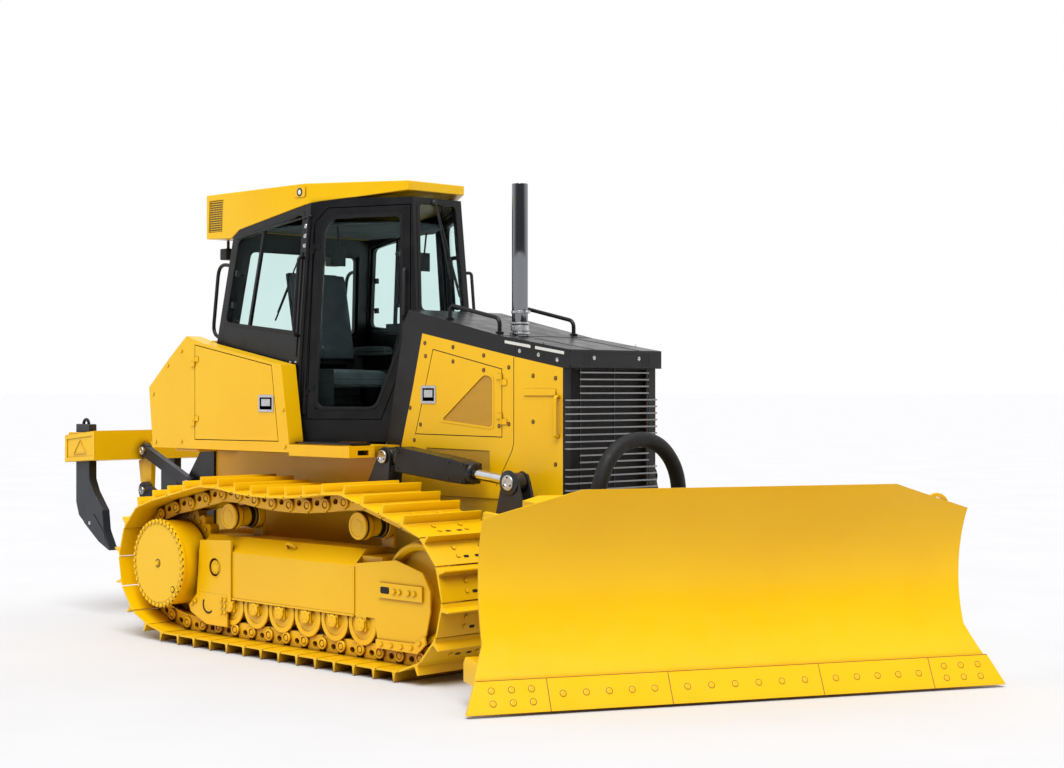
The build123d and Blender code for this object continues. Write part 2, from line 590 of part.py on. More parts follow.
with BuildPart() as fender_left:
    plate(FENDER_OUTLINE, FENDER_OUT, FENDER_IN)
    with BuildSketch(side(FENDER_OUT)):
        add(grow(FENDER_DOOR, DOOR_GAP))
    extrude(amount=90, mode=Mode.SUBTRACT)
    slab((917, DECK_X[1]), (HOOD_HALF + 5, FENDER_OUT), (1262, DECK_Z))
    slab((917, DECK_X[1] - 40), (HOOD_HALF + 40, FENDER_OUT - 14), (1262, DECK_Z - 14), Mode.SUBTRACT)
    slab((DECK_X[1] - 26, DECK_X[1]), (HOOD_HALF + 5, LIFT_Y + 90), (1262, DECK_Z), Mode.SUBTRACT)
    slab((DECK_X[1] - 50, DECK_X[1] + 1), DECK_HOLE_Y, DECK_HOLE_Z, Mode.SUBTRACT)
    for z in FENDER_HINGE_Z:
        add(knuckle(fender_hinge(z), -45))
fender_left.part.label = "fender_left"
export_step(fender_left.part, "parts/fender_left.step")

with BuildPart() as fender_right:
    mirror(fender_left.part, about=CENTRE)
fender_right.part.label = "fender_right"
export_step(fender_right.part, "parts/fender_right.step")

with BuildPart() as fender_door_left:
    plate(FENDER_DOOR, FENDER_OUT, FENDER_OUT - LID)
    for z, sides in zip(FENDER_HINGE_Z, HINGE_SIDES):
        add(knuckle(fender_hinge(z + KNUCKLE_LONG + PIN_GAP), 45, sides))
fender_door_left.part.label = "fender_door_left"
export_step(fender_door_left.part, "parts/fender_door_left.step")

with BuildPart() as fender_door_right:
    mirror(fender_door_left.part, about=CENTRE)
fender_door_right.part.label = "fender_door_right"
export_step(fender_door_right.part, "parts/fender_door_right.step")

with BuildPart() as rear_tank:
    plate(((-540, HULL_SHOULDER + SEAT), (-700, 1400), (-709, 1708), (-456, 1910), (-270, 2040),
           (-270, HULL_SHOULDER + SEAT)), FENDER_IN - SEAT, SEAT - FENDER_IN)
rear_tank.part.label = "rear_tank"
export_step(rear_tank.part, "parts/rear_tank.step")

# ---------------------------------------------------------------- cab
ROOF_RISE = ((-356, -205), (-50, -215), (40, -160), (870, -20), (1400, 43))
ROOF_UNDER = [(x, CAB_TOP_Z + rise) for x, rise in ROOF_RISE]
ROOF_PLAN = ((-345, 622), (760, 612), (1395, 250))
ROOF_Z = CAB_TOP_Z + 105
ROOF_VENT = [(x, CAB_TOP_Z + rise) for x, rise in ((-322, -160), (-160, -160), (-150, 60), (-312, 60))]

SIDE_RUN = (corner(0, CAB_FLOOR_Z, 1) - corner(1, CAB_FLOOR_Z, 1)).length
DOOR_RUN = (corner(1, CAB_FLOOR_Z, 1) - corner(2, CAB_FLOOR_Z, 1)).length
FRONT_HALF = CAB_PLAN_FLOOR[2][1]
REAR_HALF = CAB_PLAN_FLOOR[0][1]

# windows on the walls, as corners in each wall's own plane, their tops set down from the roof line
WALL_H = CAB_TOP_Z - CAB_FLOOR_Z
SIDE_WINDOW = ((62, 715), (SIDE_RUN - 175, 800), (SIDE_RUN - 268, WALL_H - 215), (62, WALL_H - 75))
WINDOW_BAR = ((625, 735), (603, 735), (490, WALL_H - 130), (512, WALL_H - 130))
FRONT_WINDOW = ((55, 850), (2 * FRONT_HALF - 55, 850), (2 * FRONT_HALF - 88, WALL_H - 20), (88, WALL_H - 20))
REAR_WINDOW = ((190, 750), (2 * REAR_HALF - 190, 750), (2 * REAR_HALF - 245, WALL_H - 270),
               (245, WALL_H - 270))
# the door's outline in the door wall: rear edge at the side post, front edge stepping back over the hood
DOOR_EDGE = ((DOOR_RUN - 75, 150), (270, 150), (85, 640), (98, WALL_H - 50), (DOOR_RUN - 190, WALL_H - 65),
             (DOOR_RUN - 105, WALL_H - 160))
DOOR_GLASS = ((DOOR_RUN - 130, 215), (305, 215), (140, 655), (150, WALL_H - 110),
              (DOOR_RUN - 225, WALL_H - 120), (DOOR_RUN - 160, WALL_H - 195))
GLASS_DEEP = 25.0                            # panes lie this far inside the walls
DOOR_THICK = 36.0
DOOR_HINGE_SHARES = (0.12, 0.84)             # places of the hinges along the door's rear edge
CAB_MOUNTS = [(x, y) for x in (-120, 1160) for y in (-320, 320)]


def door_hinge(share, rise=0.0):
    """Where the left door's hinge meets the door wall: local y outward, local z along the hinge line."""
    low, high = [door_wall.from_local_coords((u + DOOR_GAP / 2, v, 0)) for u, v in (DOOR_EDGE[0], DOOR_EDGE[-1])]
    up = (high - low).normalized()
    return Plane(origin=low + (high - low) * share + up * rise, x_dir=door_wall.z_dir.cross(up), z_dir=up)


def wall_prism(wall, outline, depth, start=0.0, margin=0.0):
    """A window or door outline in a wall's plane, drawn inward from start to depth."""
    with BuildSketch(wall.offset(-start), mode=Mode.PRIVATE) as shape:
        with BuildLine():
            Polyline(*outline, close=True)
        make_face()
        if margin:
            offset(amount=margin, kind=Kind.INTERSECTION, mode=Mode.REPLACE)
    return extrude(shape.sketch, amount=start - depth, mode=Mode.PRIVATE)


with BuildPart() as cab_frame:
    add(cab_block(CAB_FLOOR_Z, CAB_TOP_Z))
    add(cab_block(CAB_FLOOR_Z + 60, CAB_TOP_Z + 10, CAB_WALL), mode=Mode.SUBTRACT)
    plate(((-500, ROOF_Z + 50), (-500, ROOF_UNDER[0][1]), *[(x, z - SEAT) for x, z in ROOF_UNDER],
           (1600, ROOF_UNDER[-1][1]), (1600, ROOF_Z + 50)), 900, -900, Mode.SUBTRACT)
    for hole in (
        wall_prism(side_wall, SIDE_WINDOW, 90, -40),
        wall_prism(door_wall, DOOR_EDGE, 90, -40, DOOR_GAP),
    ):
        add(hole, mode=Mode.SUBTRACT)
        add(mirrored(hole), mode=Mode.SUBTRACT)
    add(wall_prism(front_wall, FRONT_WINDOW, 90, -40), mode=Mode.SUBTRACT)
    add(wall_prism(rear_wall, REAR_WINDOW, 90, -40), mode=Mode.SUBTRACT)
    bar = wall_prism(side_wall, WINDOW_BAR, GLASS_DEEP - SEAT, 3)
    add([bar, mirrored(bar)])
    for share in DOOR_HINGE_SHARES:
        fixed = knuckle(door_hinge(share), -45)
        add([fixed, mirrored(fixed)])
    for x, y in CAB_MOUNTS:
        post(x, y, 62, HULL_SHOULDER + SEAT, CAB_FLOOR_Z + 1)
cab_frame.part.label = "cab_frame"
export_step(cab_frame.part, "parts/cab_frame.step")

with BuildPart() as cab_roof:
    with BuildSketch(level(ROOF_UNDER[0][1] - 60)):
        with BuildLine():
            Polyline(*ROOF_PLAN, *[(x, -y) for x, y in reversed(ROOF_PLAN)], close=True)
        make_face()
    extrude(amount=ROOF_Z - ROOF_UNDER[0][1] + 60)
    plate(((-400, ROOF_UNDER[0][1] - 160), (-400, ROOF_UNDER[0][1]), *ROOF_UNDER, (1600, ROOF_UNDER[-1][1]),
           (1600, ROOF_UNDER[0][1] - 160)), 900, -900, Mode.SUBTRACT)
    for out in (-1, 1):
        plate(ROOF_VENT, out * (ROOF_PLAN[0][1] - 14), out * (ROOF_PLAN[0][1] + 1), Mode.SUBTRACT)
cab_roof.part.label = "cab_roof"
export_step(cab_roof.part, "parts/cab_roof.step")

with BuildPart() as cab_glass:
    side_pane = wall_prism(side_wall, SIDE_WINDOW, GLASS_DEEP + GLASS, GLASS_DEEP)
    add(side_pane)
    add(mirrored(side_pane))
    add(wall_prism(front_wall, FRONT_WINDOW, GLASS_DEEP + GLASS, GLASS_DEEP))
    add(wall_prism(rear_wall, REAR_WINDOW, GLASS_DEEP + GLASS, GLASS_DEEP))
cab_glass.part.label = "cab_glass"
export_step(cab_glass.part, "parts/cab_glass.step")

with BuildPart() as cab_door_left:
    add(wall_prism(door_wall, DOOR_EDGE, DOOR_THICK))
    add(wall_prism(door_wall, DOOR_GLASS, 60, -10), mode=Mode.SUBTRACT)
    for share, sides in zip(DOOR_HINGE_SHARES, HINGE_SIDES):
        add(knuckle(door_hinge(share, KNUCKLE_LONG + PIN_GAP), 45, sides))
cab_door_left.part.label = "cab_door_left"
export_step(cab_door_left.part, "parts/cab_door_left.step")

with BuildPart() as cab_door_right:
    mirror(cab_door_left.part, about=CENTRE)
cab_door_right.part.label = "cab_door_right"
export_step(cab_door_right.part, "parts/cab_door_right.step")

with BuildPart() as door_glass_left:
    add(wall_prism(door_wall, DOOR_GLASS, 15 + GLASS, 15))
door_glass_left.part.label = "door_glass_left"
export_step(door_glass_left.part, "parts/door_glass_left.step")

with BuildPart() as door_glass_right:
    mirror(door_glass_left.part, about=CENTRE)
door_glass_right.part.label = "door_glass_right"
export_step(door_glass_right.part, "parts/door_glass_right.step")

CAB_FLOOR_TOP = CAB_FLOOR_Z + 60
with BuildPart() as seat:
    slab((150, 420), (-180, 180), (CAB_FLOOR_TOP + SEAT, 1700))
    slab((90, 610), (-260, 260), (1700, 1830))
    plate(((90, 1830), (210, 1830), (70, 2560), (-10, 2540)), 240, -240)
    for out in (-1, 1):
        slab((110, 560), (out * 265, out * 345), (1930, 2000))
        slab((150, 260), (out * 240, out * 345), (1800, 1935))
seat.part.label = "seat"
export_step(seat.part, "parts/seat.step")

with BuildPart() as console:
    plate(((1130, CAB_FLOOR_TOP + SEAT), (1400, CAB_FLOOR_TOP + SEAT), (1380, 2130), (1220, 2150),
           (1130, 1900)), 170, -170)
console.part.label = "console"
export_step(console.part, "parts/console.step")

# ---------------------------------------------------------------- lights, rails and hose
LAMP_X = (-300.0, -280.0)


def roof_under(x):
    """Height of the roof's underside over its rear overhang."""
    (x0, z0), (x1, z1) = ROOF_UNDER[0], ROOF_UNDER[1]
    return z0 + (x - x0) * (z1 - z0) / (x1 - x0)


stem_top = roof_under(LAMP_X[1]) - SEAT
with BuildPart() as work_lights:
    for out in (-1, 1):
        slab((-330, -250), (out * 430, out * 520), (stem_top - 140, stem_top - 60))
        slab(LAMP_X, (out * 465, out * 485), (stem_top - 60, stem_top))
work_lights.part.label = "work_lights"
export_step(work_lights.part, "parts/work_lights.step")


def eased(points, cut):
    """A path's points, with each inner corner cut off by a short run."""
    path = [points[0]]
    for before, here, after in zip(points, points[1:], points[2:]):
        for other in (before, after):
            path.append(here + (other - here).normalized() * cut)
    return [*path, points[-1]]


def tube(points, radius, cut=0.0, sides=6):
    """A bar with flats along straight runs, its corners eased."""
    corners = eased(points, cut) if cut else points
    with BuildLine(mode=Mode.PRIVATE) as path:
        Polyline(*corners)
    route = path.wire()
    with BuildSketch(Plane(origin=route @ 0, z_dir=route % 0), mode=Mode.PRIVATE) as section:
        RegularPolygon(radius, sides)
    return sweep(section.sketch, path=route, transition=Transition.RIGHT, mode=Mode.PRIVATE)


RAIL_R = 13.0
HOOD_RAIL_X, HOOD_RAIL_Y, HOOD_RAIL_UP = (1890.0, 2340.0), 330.0, 90.0
GRAB_U, GRAB_V, GRAB_OUT = 150.0, (700.0, 1215.0), 190.0
hood_fall = (hood_top(HOOD_RAIL_X[0]) - hood_top(HOOD_RAIL_X[1])) / (HOOD_RAIL_X[1] - HOOD_RAIL_X[0])
foot_up = SEAT + RAIL_R * hood_fall          # the rail's level foot clears the sloping top
with BuildPart() as rails:
    ends = [at(x, HOOD_RAIL_Y, hood_top(x) + rise) for x, rise in
            ((HOOD_RAIL_X[0], foot_up), (HOOD_RAIL_X[0], HOOD_RAIL_UP),
             (HOOD_RAIL_X[1], HOOD_RAIL_UP), (HOOD_RAIL_X[1], foot_up))]
    hood_rail = tube(ends, RAIL_R, 30)
    grab_rail = tube([rear_wall.from_local_coords((GRAB_U, v, out)) for v, out in
                      ((GRAB_V[1], SEAT), (GRAB_V[1], GRAB_OUT), (GRAB_V[0], GRAB_OUT), (GRAB_V[0], SEAT))], RAIL_R, 50)
    add([hood_rail, mirrored(hood_rail), grab_rail, mirrored(grab_rail)])
rails.part.label = "rails"
export_step(rails.part, "parts/rails.step")

HOSE_R = 45.0
HOSE_ROUTE = ((3350, -570, CROSS_Z[1] + SEAT), (3350, -570, 900), (3415, -605, 1120), (3430, -520, 1330),
              (3440, -330, 1415), (3440, -110, 1390), (3430, 60, 1240), (3400, 130, 1040), (3350, 140, 880),
              (3350, 140, CROSS_Z[1] + SEAT))
with BuildPart() as blade_hose:
    add(tube([at(*p) for p in HOSE_ROUTE], HOSE_R, sides=FLATS))
blade_hose.part.label = "blade_hose"
export_step(blade_hose.part, "parts/blade_hose.step")

# ---------------------------------------------------------------- C-frame
ARM_MID = (C_ARM_IN + C_ARM_OUT) / 2
NOSE_R = 105.0
NOSE_Z = (SWIVEL_Z - 95.0, SWIVEL_Z + 95.0)
PIN_R = 48.0
ANGLE_REAR = (2980.0, 535.0)
ANGLE_Z = 790.0
ANGLE_EAR = 38.0             # half the thickness of an angle cylinder's eye

with BuildPart() as c_frame:
    for out in (-1, 1):
        inner, outer = out * C_ARM_IN, out * C_ARM_OUT
        plate(((950, 455), (2500, 430), (CROSS_X[1], CROSS_Z[0]), (CROSS_X[1], CROSS_Z[1]), (2900, 690), (2500, 640),
               (950, 645)), inner, outer)
        roll(C_PIVOT_X, C_PIVOT_Z, 95, inner, outer)
        roll(C_PIVOT_X, C_PIVOT_Z, C_PIN_R + PIN_GAP, inner - out * 5, outer + out * 5, Mode.SUBTRACT)
        for gap in (LIFT_Y - LIFT_EAR - EAR_GAP - EAR_T, LIFT_Y + LIFT_EAR + EAR_GAP):
            lug(LIFT_FRONT[0], LIFT_FRONT[1], 66, ((2520, 640), (2920, 680)), out * gap, out * (gap + EAR_T))
        roll(LIFT_FRONT[0], LIFT_FRONT[1], 32, out * (LIFT_Y + LIFT_EAR + 24), out * (LIFT_Y + LIFT_EAR + 34))
        slab((ANGLE_REAR[0] - 60, ANGLE_REAR[0] + 60), (inner, outer), (680, ANGLE_Z - ANGLE_EAR - EAR_GAP - EAR_T))
        for z, radius, thick, sides in (
            (ANGLE_Z - ANGLE_EAR - EAR_GAP - EAR_T, 62, EAR_T, FLATS),
            (ANGLE_Z - ANGLE_EAR - EAR_GAP, 34, EAR_GAP - PIN_GAP, FLATS),
            (ANGLE_Z + ANGLE_EAR + PIN_GAP, 34, EAR_GAP - PIN_GAP, ARC),
            (ANGLE_Z + ANGLE_EAR + EAR_GAP, 62, EAR_T, FLATS),
        ):
            post(ANGLE_REAR[0], out * ANGLE_REAR[1], radius, z, z + thick, sides=sides)
        slab((ANGLE_REAR[0] - 62, ANGLE_REAR[0] - 48), (inner + out * 20, outer - out * 20), (700, ANGLE_Z + 62))
    slab(CROSS_X, (-C_ARM_OUT, C_ARM_OUT), CROSS_Z)
    with BuildSketch(level(NOSE_Z[0])):
        with BuildLine():
            Polyline((CROSS_X[1], -300), (SWIVEL_X - 60, -95), (SWIVEL_X, -NOSE_R), (SWIVEL_X, NOSE_R),
                     (SWIVEL_X - 60, 95), (CROSS_X[1], 300), close=True)
        make_face()
    extrude(amount=NOSE_Z[1] - NOSE_Z[0])
    post(SWIVEL_X, 0, NOSE_R, NOSE_Z[0], NOSE_Z[1], sides=FINE_FLATS)
    post(SWIVEL_X, 0, PIN_R + PIN_GAP, NOSE_Z[0] - 5, NOSE_Z[1] + 5, Mode.SUBTRACT)
c_frame.part.label = "c_frame"
export_step(c_frame.part, "parts/c_frame.step")

# ---------------------------------------------------------------- blade and its swivel
U_AXIS = Vector(SIN_B, COS_B, 0)           # along the blade, to the machine's left
N_AXIS = Vector(COS_B, -SIN_B, 0)          # square to the blade, forward
SWIVEL = at(SWIVEL_X, 0, 0)


def blade_side(u):
    """Upright plane square to the blade: local x forward from the swivel, local y up, extrudes right."""
    return Plane(origin=SWIVEL + U_AXIS * u, x_dir=N_AXIS, z_dir=-U_AXIS)


def blade_face(n):
    """Upright plane along the blade: local x to the blade's left end, local y up, extrudes forward."""
    return Plane(origin=SWIVEL + N_AXIS * n, x_dir=U_AXIS, z_dir=N_AXIS)


def blade_level(z):
    """Flat plane: local x square to the blade and forward, local y along it to the left."""
    return Plane(origin=at(SWIVEL_X, 0, z), x_dir=N_AXIS, z_dir=(0, 0, 1))


def blade_slab(ns, us, zs, mode=Mode.ADD):
    """A box between stations forward of the swivel, along the blade and above the ground."""
    with BuildSketch(blade_side(max(us)), mode=Mode.PRIVATE) as section:
        with Locations(((ns[0] + ns[1]) / 2, (zs[0] + zs[1]) / 2)):
            Rectangle(abs(ns[1] - ns[0]), abs(zs[1] - zs[0]))
    extrude(section.sketch, amount=max(us) - min(us), mode=mode)


def blade_disc(u, z, radius, n0, n1, mode=Mode.ADD, sides=FLATS):
    """A round about a line square to the blade, from n0 to n1."""
    with BuildSketch(blade_face(n0), mode=Mode.PRIVATE) as section:
        with Locations((u, z)):
            disc(radius, sides, mode == Mode.SUBTRACT)
    extrude(section.sketch, amount=n1 - n0, mode=mode)


EDGE_N = BLADE_REACH
MOLD_T = 18.0
EDGE_T = 31.0                # thickness of the cutting edge, measured level
EDGE_SLOPE = 82.0            # how far the cutting edge leans back
EDGE_TOP = BLADE_REST_Z + 162.0
MOLD_FOOT_Z = BLADE_REST_Z + 75.0            # the moldboard reaches down behind the cutting edge to here
HOLLOW = 268.0               # deepest point of the moldboard behind the cutting edge
HOLLOW_Z = BLADE_REST_Z + 628.0
CREST = 67.0
BLADE_TOP = BLADE_REST_Z + BLADE_HEIGHT
BLADE_OUTLINE = ((936, BLADE_TOP), (1458, BLADE_TOP - 151), (1452, 345), (1528, EDGE_TOP - 12), (1528, 100))
YOKE_N = (NOSE_R + 25.0, NOSE_R + 60.0)      # the yoke's upright plate, forward of the swivel
BACK_N = YOKE_N[1] + 80.0    # back of the blade's ribs
TILT_Z = SWIVEL_Z
TRUNNION_R = 70.0
TILT_BARREL = (-240.0, 935.0)          # along the blade, above ground
TILT_ROD = (430.0, 975.0)
TILT_N = YOKE_N[1] + 30.0
TILT_EAR = 22.0              # half the thickness of the tilt cylinder's eye


TOP_BEAM_HALF = 1180.0       # half the length of the box beam behind the blade's top
EYE_U, EYE_N = 1300.0, EDGE_N - 262.0        # lifting eye behind the left top slope
EYE_T, EYE_R, EYE_BORE_R = 20.0, 75.0, 52.0
EYE_DROP = 36.0              # its bore below the slope


def slope_top(u):
    """Height of the blade's top slope at a distance along the blade."""
    (u0, z0), (u1, z1) = BLADE_OUTLINE[:2]
    return z0 + (u - u0) * (z1 - z0) / (u1 - u0)


EYE_Z = slope_top(EYE_U) - EYE_DROP


def blade_mirror(outline):
    """A half outline, joined to its own mirror image about the blade's middle."""
    return [*outline, *[(-u, z) for u, z in reversed(outline)]]


def edge_back(z):
    """Where the cutting edge's back face stands at a height, forward of the swivel."""
    return EDGE_N - EDGE_T - EDGE_SLOPE * (z - BLADE_REST_Z) / (EDGE_TOP - BLADE_REST_Z)


def board_line(back):
    """The moldboard's hollow line, set back by a distance: its foot, low, middle and top points."""
    return [(n - back, z) for n, z in ((edge_back(MOLD_FOOT_Z), MOLD_FOOT_Z), (edge_back(EDGE_TOP), EDGE_TOP),
                                       (EDGE_N - HOLLOW, HOLLOW_Z), (EDGE_N - CREST, BLADE_TOP))]


RIB_U = (270, 780, 1380)
RIB_T = 18.0
with BuildPart() as blade:
    for ns, zs, half in (
        ((BACK_N + 90, EDGE_N - 100), (975, 1120), TOP_BEAM_HALF),
        ((BACK_N + 50, EDGE_N - 130), (130, 260), 1500),
    ):
        blade_slab(ns, (-half, half), zs)
    for u in (*RIB_U, *[-u for u in RIB_U]):
        with BuildSketch(blade_side(u + RIB_T / 2)):
            with BuildLine():
                Polyline((EDGE_N - 90, 140), (BACK_N + 40, 200), (BACK_N, 420), (BACK_N, 900), (BACK_N + 80, 1110),
                         (EDGE_N - 90, 1130), close=True)
            make_face()
        extrude(amount=RIB_T)
    # what stands behind the moldboard ends inside its thickness
    foot, low, mid, high = board_line(MOLD_T / 2)
    with BuildSketch(blade_side(BLADE_HALF)):
        with BuildLine():
            Line(foot, low)
            ThreePointArc(low, mid, high)
            Polyline(high, (EDGE_N + 200, BLADE_TOP), (EDGE_N + 200, MOLD_FOOT_Z), foot)
        make_face()
    extrude(amount=2 * BLADE_HALF, mode=Mode.SUBTRACT)
    with BuildSketch(blade_side(BLADE_HALF)):
        with BuildLine():
            foot, low, mid, high = board_line(0)
            foot_back, low_back, mid_back, high_back = board_line(MOLD_T)
            Line(foot, low)
            ThreePointArc(low, mid, high)
            Line(high, high_back)
            ThreePointArc(high_back, mid_back, low_back)
            Polyline(low_back, foot_back, foot)
        make_face()
    extrude(amount=2 * BLADE_HALF)
    with BuildSketch(blade_face(-400)):
        with BuildLine():
            Polyline(*blade_mirror(BLADE_OUTLINE), close=True)
        make_face()
    extrude(amount=1400, mode=Mode.INTERSECT)
    blade_slab((BACK_N - 40, BACK_N), (-290, 290), (330, 830))
    blade_disc(0, TILT_Z, TRUNNION_R + PIN_GAP, BACK_N - 60, BACK_N + 90, Mode.SUBTRACT)
    blade_disc(EYE_U, EYE_Z, EYE_R, EYE_N, EYE_N + EYE_T, sides=FINE_FLATS)
    blade_slab((EYE_N, EYE_N + EYE_T), (TOP_BEAM_HALF - 30, EYE_U + EYE_R), (975, EYE_Z))
    blade_disc(EYE_U, EYE_Z, EYE_BORE_R, EYE_N - 1, EYE_N + EYE_T + 1, Mode.SUBTRACT, CIRCLE)
    for n0 in (TILT_N - 42, TILT_N + 24):
        blade_disc(TILT_ROD[0], TILT_ROD[1], 52, n0, n0 + 18)
    blade_slab((TILT_N - 42, TILT_N - 24), (TILT_ROD[0] + 20, 560), (930, 1015))
    blade_slab((TILT_N + 24, TILT_N + 42), (TILT_ROD[0] + 20, 560), (930, 1015))
    blade_slab((TILT_N - 42, BACK_N + 60), (520, 569), (930, 1015))
blade.part.label = "blade"
export_step(blade.part, "parts/blade.step")

with BuildPart() as cutting_edge:
    with BuildSketch(blade_side(BLADE_HALF)):
        with BuildLine():
            Polyline((EDGE_N, BLADE_REST_Z), (EDGE_N - EDGE_SLOPE, EDGE_TOP), (edge_back(EDGE_TOP), EDGE_TOP),
                     (edge_back(BLADE_REST_Z), BLADE_REST_Z), close=True)
        make_face()
    extrude(amount=2 * BLADE_HALF)
    with BuildSketch(blade_face(-400)):
        with BuildLine():
            Polyline((BLADE_HALF, BLADE_REST_Z), (1528, EDGE_TOP), (1528, 300), (-1528, 300), (-1528, EDGE_TOP),
                     (-BLADE_HALF, BLADE_REST_Z), close=True)
        make_face()
    extrude(amount=1400, mode=Mode.INTERSECT)
cutting_edge.part.label = "cutting_edge"
export_step(cutting_edge.part, "parts/cutting_edge.step")

EAR_U = 400.0
YOKE_PLATE = 40.0
with BuildPart() as swivel_yoke:
    for z in (NOSE_Z[0] - 10 - YOKE_PLATE, NOSE_Z[1] + 10):
        with BuildSketch(blade_level(z)):
            disc(NOSE_R, FINE_FLATS)
            with Locations((YOKE_N[1] / 2, 0)):
                Rectangle(YOKE_N[1], 2 * NOSE_R)
        extrude(amount=YOKE_PLATE)
    post(SWIVEL_X, 0, PIN_R, NOSE_Z[0] - 10, NOSE_Z[1] + 10, sides=ARC)
    blade_slab(YOKE_N, (-290, 290), (430, 860))
    blade_slab(YOKE_N, (-330, -190), (855, 990))
    blade_disc(0, TILT_Z, 130, YOKE_N[1], BACK_N - 46)
    blade_disc(0, TILT_Z, TRUNNION_R, BACK_N - 46, BACK_N + 60, sides=ARC)
    for out in (-1, 1):
        for z in (ANGLE_Z - ANGLE_EAR - EAR_GAP - EAR_T, ANGLE_Z + ANGLE_EAR + EAR_GAP):
            with BuildSketch(blade_level(z)):
                with Locations((YOKE_N[0] - 10, out * EAR_U)):
                    disc(58, FLATS)
                with Locations((YOKE_N[0] + 10, out * 330)):
                    Rectangle(76, 140)
            extrude(amount=EAR_T)
    blade_disc(TILT_BARREL[0], TILT_BARREL[1], 52, TILT_N + 24, TILT_N + 42)
    blade_disc(TILT_BARREL[0], TILT_BARREL[1], 26, TILT_N + TILT_EAR + PIN_GAP, TILT_N + 24, sides=ARC)
    blade_slab((YOKE_N[1] - 5, TILT_N + 42), (TILT_BARREL[0] - 70, TILT_BARREL[0] - 46), (885, 985))
swivel_yoke.part.label = "swivel_yoke"
export_step(swivel_yoke.part, "parts/swivel_yoke.step")


# ---------------------------------------------------------------- cylinders
def cylinder_parts(rear, eye, thick, barrel_r, rod_r, barrel_len, rod_len, across, eye_r):
    """Barrel and rod of one cylinder between two pins; across is the pins' own direction."""
    along = (eye - rear).normalized()

    def eye_at(where):
        with BuildSketch(Plane(origin=where - across * (thick / 2), z_dir=across), mode=Mode.PRIVATE) as section:
            disc(eye_r, FLATS)
        return extrude(section.sketch, amount=thick, mode=Mode.PRIVATE)

    def bar(start, length, radius, sides=FLATS):
        with BuildSketch(Plane(origin=start, z_dir=along), mode=Mode.PRIVATE) as section:
            disc(radius, sides)
        return extrude(section.sketch, amount=length, mode=Mode.PRIVATE)

    neck = eye_r + 34
    bore = bar(rear + along * (neck + 12), barrel_len, rod_r + PIN_GAP)
    barrel = bar(rear + along * neck, barrel_len - neck, barrel_r, FINE_FLATS)
    barrel = barrel + bar(rear, neck + 8, thick * 0.45)
    barrel = barrel + eye_at(rear) - bore
    rod = bar(eye - along * rod_len, rod_len, rod_r) + eye_at(eye)
    return barrel, rod


LIFT_BARREL = (64.0, 790.0)
LIFT_ROD = (32.0, 640.0)
pair = [cylinder_parts(at(LIFT_REAR[0], out * LIFT_Y, LIFT_REAR[1]), at(LIFT_FRONT[0], out * LIFT_Y, LIFT_FRONT[1]),
                       2 * LIFT_EAR, LIFT_BARREL[0], LIFT_ROD[0], LIFT_BARREL[1], LIFT_ROD[1],
                       Vector(0, 1, 0), 58)
        for out in (-1, 1)]
with BuildPart() as lift_barrels:
    for barrel, rod in pair:
        add(barrel)
lift_barrels.part.label = "lift_barrels"
export_step(lift_barrels.part, "parts/lift_barrels.step")

with BuildPart() as lift_rods:
    for barrel, rod in pair:
        add(rod)
lift_rods.part.label = "lift_rods"
export_step(lift_rods.part, "parts/lift_rods.step")

for name, out in (("left", 1), ("right", -1)):
    ear = SWIVEL + N_AXIS * (YOKE_N[0] - 10) + U_AXIS * (out * EAR_U) + Vector(0, 0, ANGLE_Z)
    rear_pin = at(ANGLE_REAR[0], out * ANGLE_REAR[1], ANGLE_Z)
    barrel, rod = cylinder_parts(rear_pin, ear, 2 * ANGLE_EAR, 50, 25, 545, 500, Vector(0, 0, 1), 48)
    with BuildPart() as angle_barrel:
        add(barrel)
    angle_barrel.part.label = "angle_barrel_" + name
    export_step(angle_barrel.part, "parts/angle_barrel_" + name + ".step")
    with BuildPart() as angle_rod:
        add(rod)
    angle_rod.part.label = "angle_rod_" + name
    export_step(angle_rod.part, "parts/angle_rod_" + name + ".step")

tilt_rear = SWIVEL + N_AXIS * TILT_N + U_AXIS * TILT_BARREL[0] + Vector(0, 0, TILT_BARREL[1])
tilt_eye = SWIVEL + N_AXIS * TILT_N + U_AXIS * TILT_ROD[0] + Vector(0, 0, TILT_ROD[1])
barrel, rod = cylinder_parts(tilt_rear, tilt_eye, 2 * TILT_EAR, 42, 24, 480, 420, N_AXIS, 40)
with BuildPart() as tilt_barrel:
    add(barrel)
tilt_barrel.part.label = "tilt_barrel"
export_step(tilt_barrel.part, "parts/tilt_barrel.step")
with BuildPart() as tilt_rod:
    add(rod)
tilt_rod.part.label = "tilt_rod"
export_step(tilt_rod.part, "parts/tilt_rod.step")

# ---------------------------------------------------------------- ripper
LINK_A = (-780.0, 700.0)               # lower link's pin on the mount
LINK_RISE = 300.0                      # upper link's pins above the lower link's
LINK_RUN = (-590.0, 230.0)             # from a link's front pin to its rear pin
LINK_Y = (430.0, 480.0)
CHEEK_Y = (385.0, 422.0)               # the plates that carry the links' pins
LINK_PIN_R = 26.0
RAM_EAR = 33.0                         # half the thickness of the ram's eyes
RAM_FRONT = (-740.0, 1180.0)
RAM_REAR_SHARE = 0.86                  # where the ram's eye sits along the lower link
LINK_B = (LINK_A[0] + LINK_RUN[0], LINK_A[1] + LINK_RUN[1])

MOUNT_X = HULL_REAR - SEAT


def link_pins(x, z):
    """The pins that carry a pair of links at one end, each with a boss beside its link."""
    for out, sides in ((-1, FLATS), (1, ARC)):
        roll(x, z, LINK_PIN_R + 16, out * CHEEK_Y[1], out * (LINK_Y[0] - PIN_GAP))
        roll(x, z, LINK_PIN_R, out * (LINK_Y[0] - PIN_GAP), out * (LINK_Y[1] + 10), sides=sides)


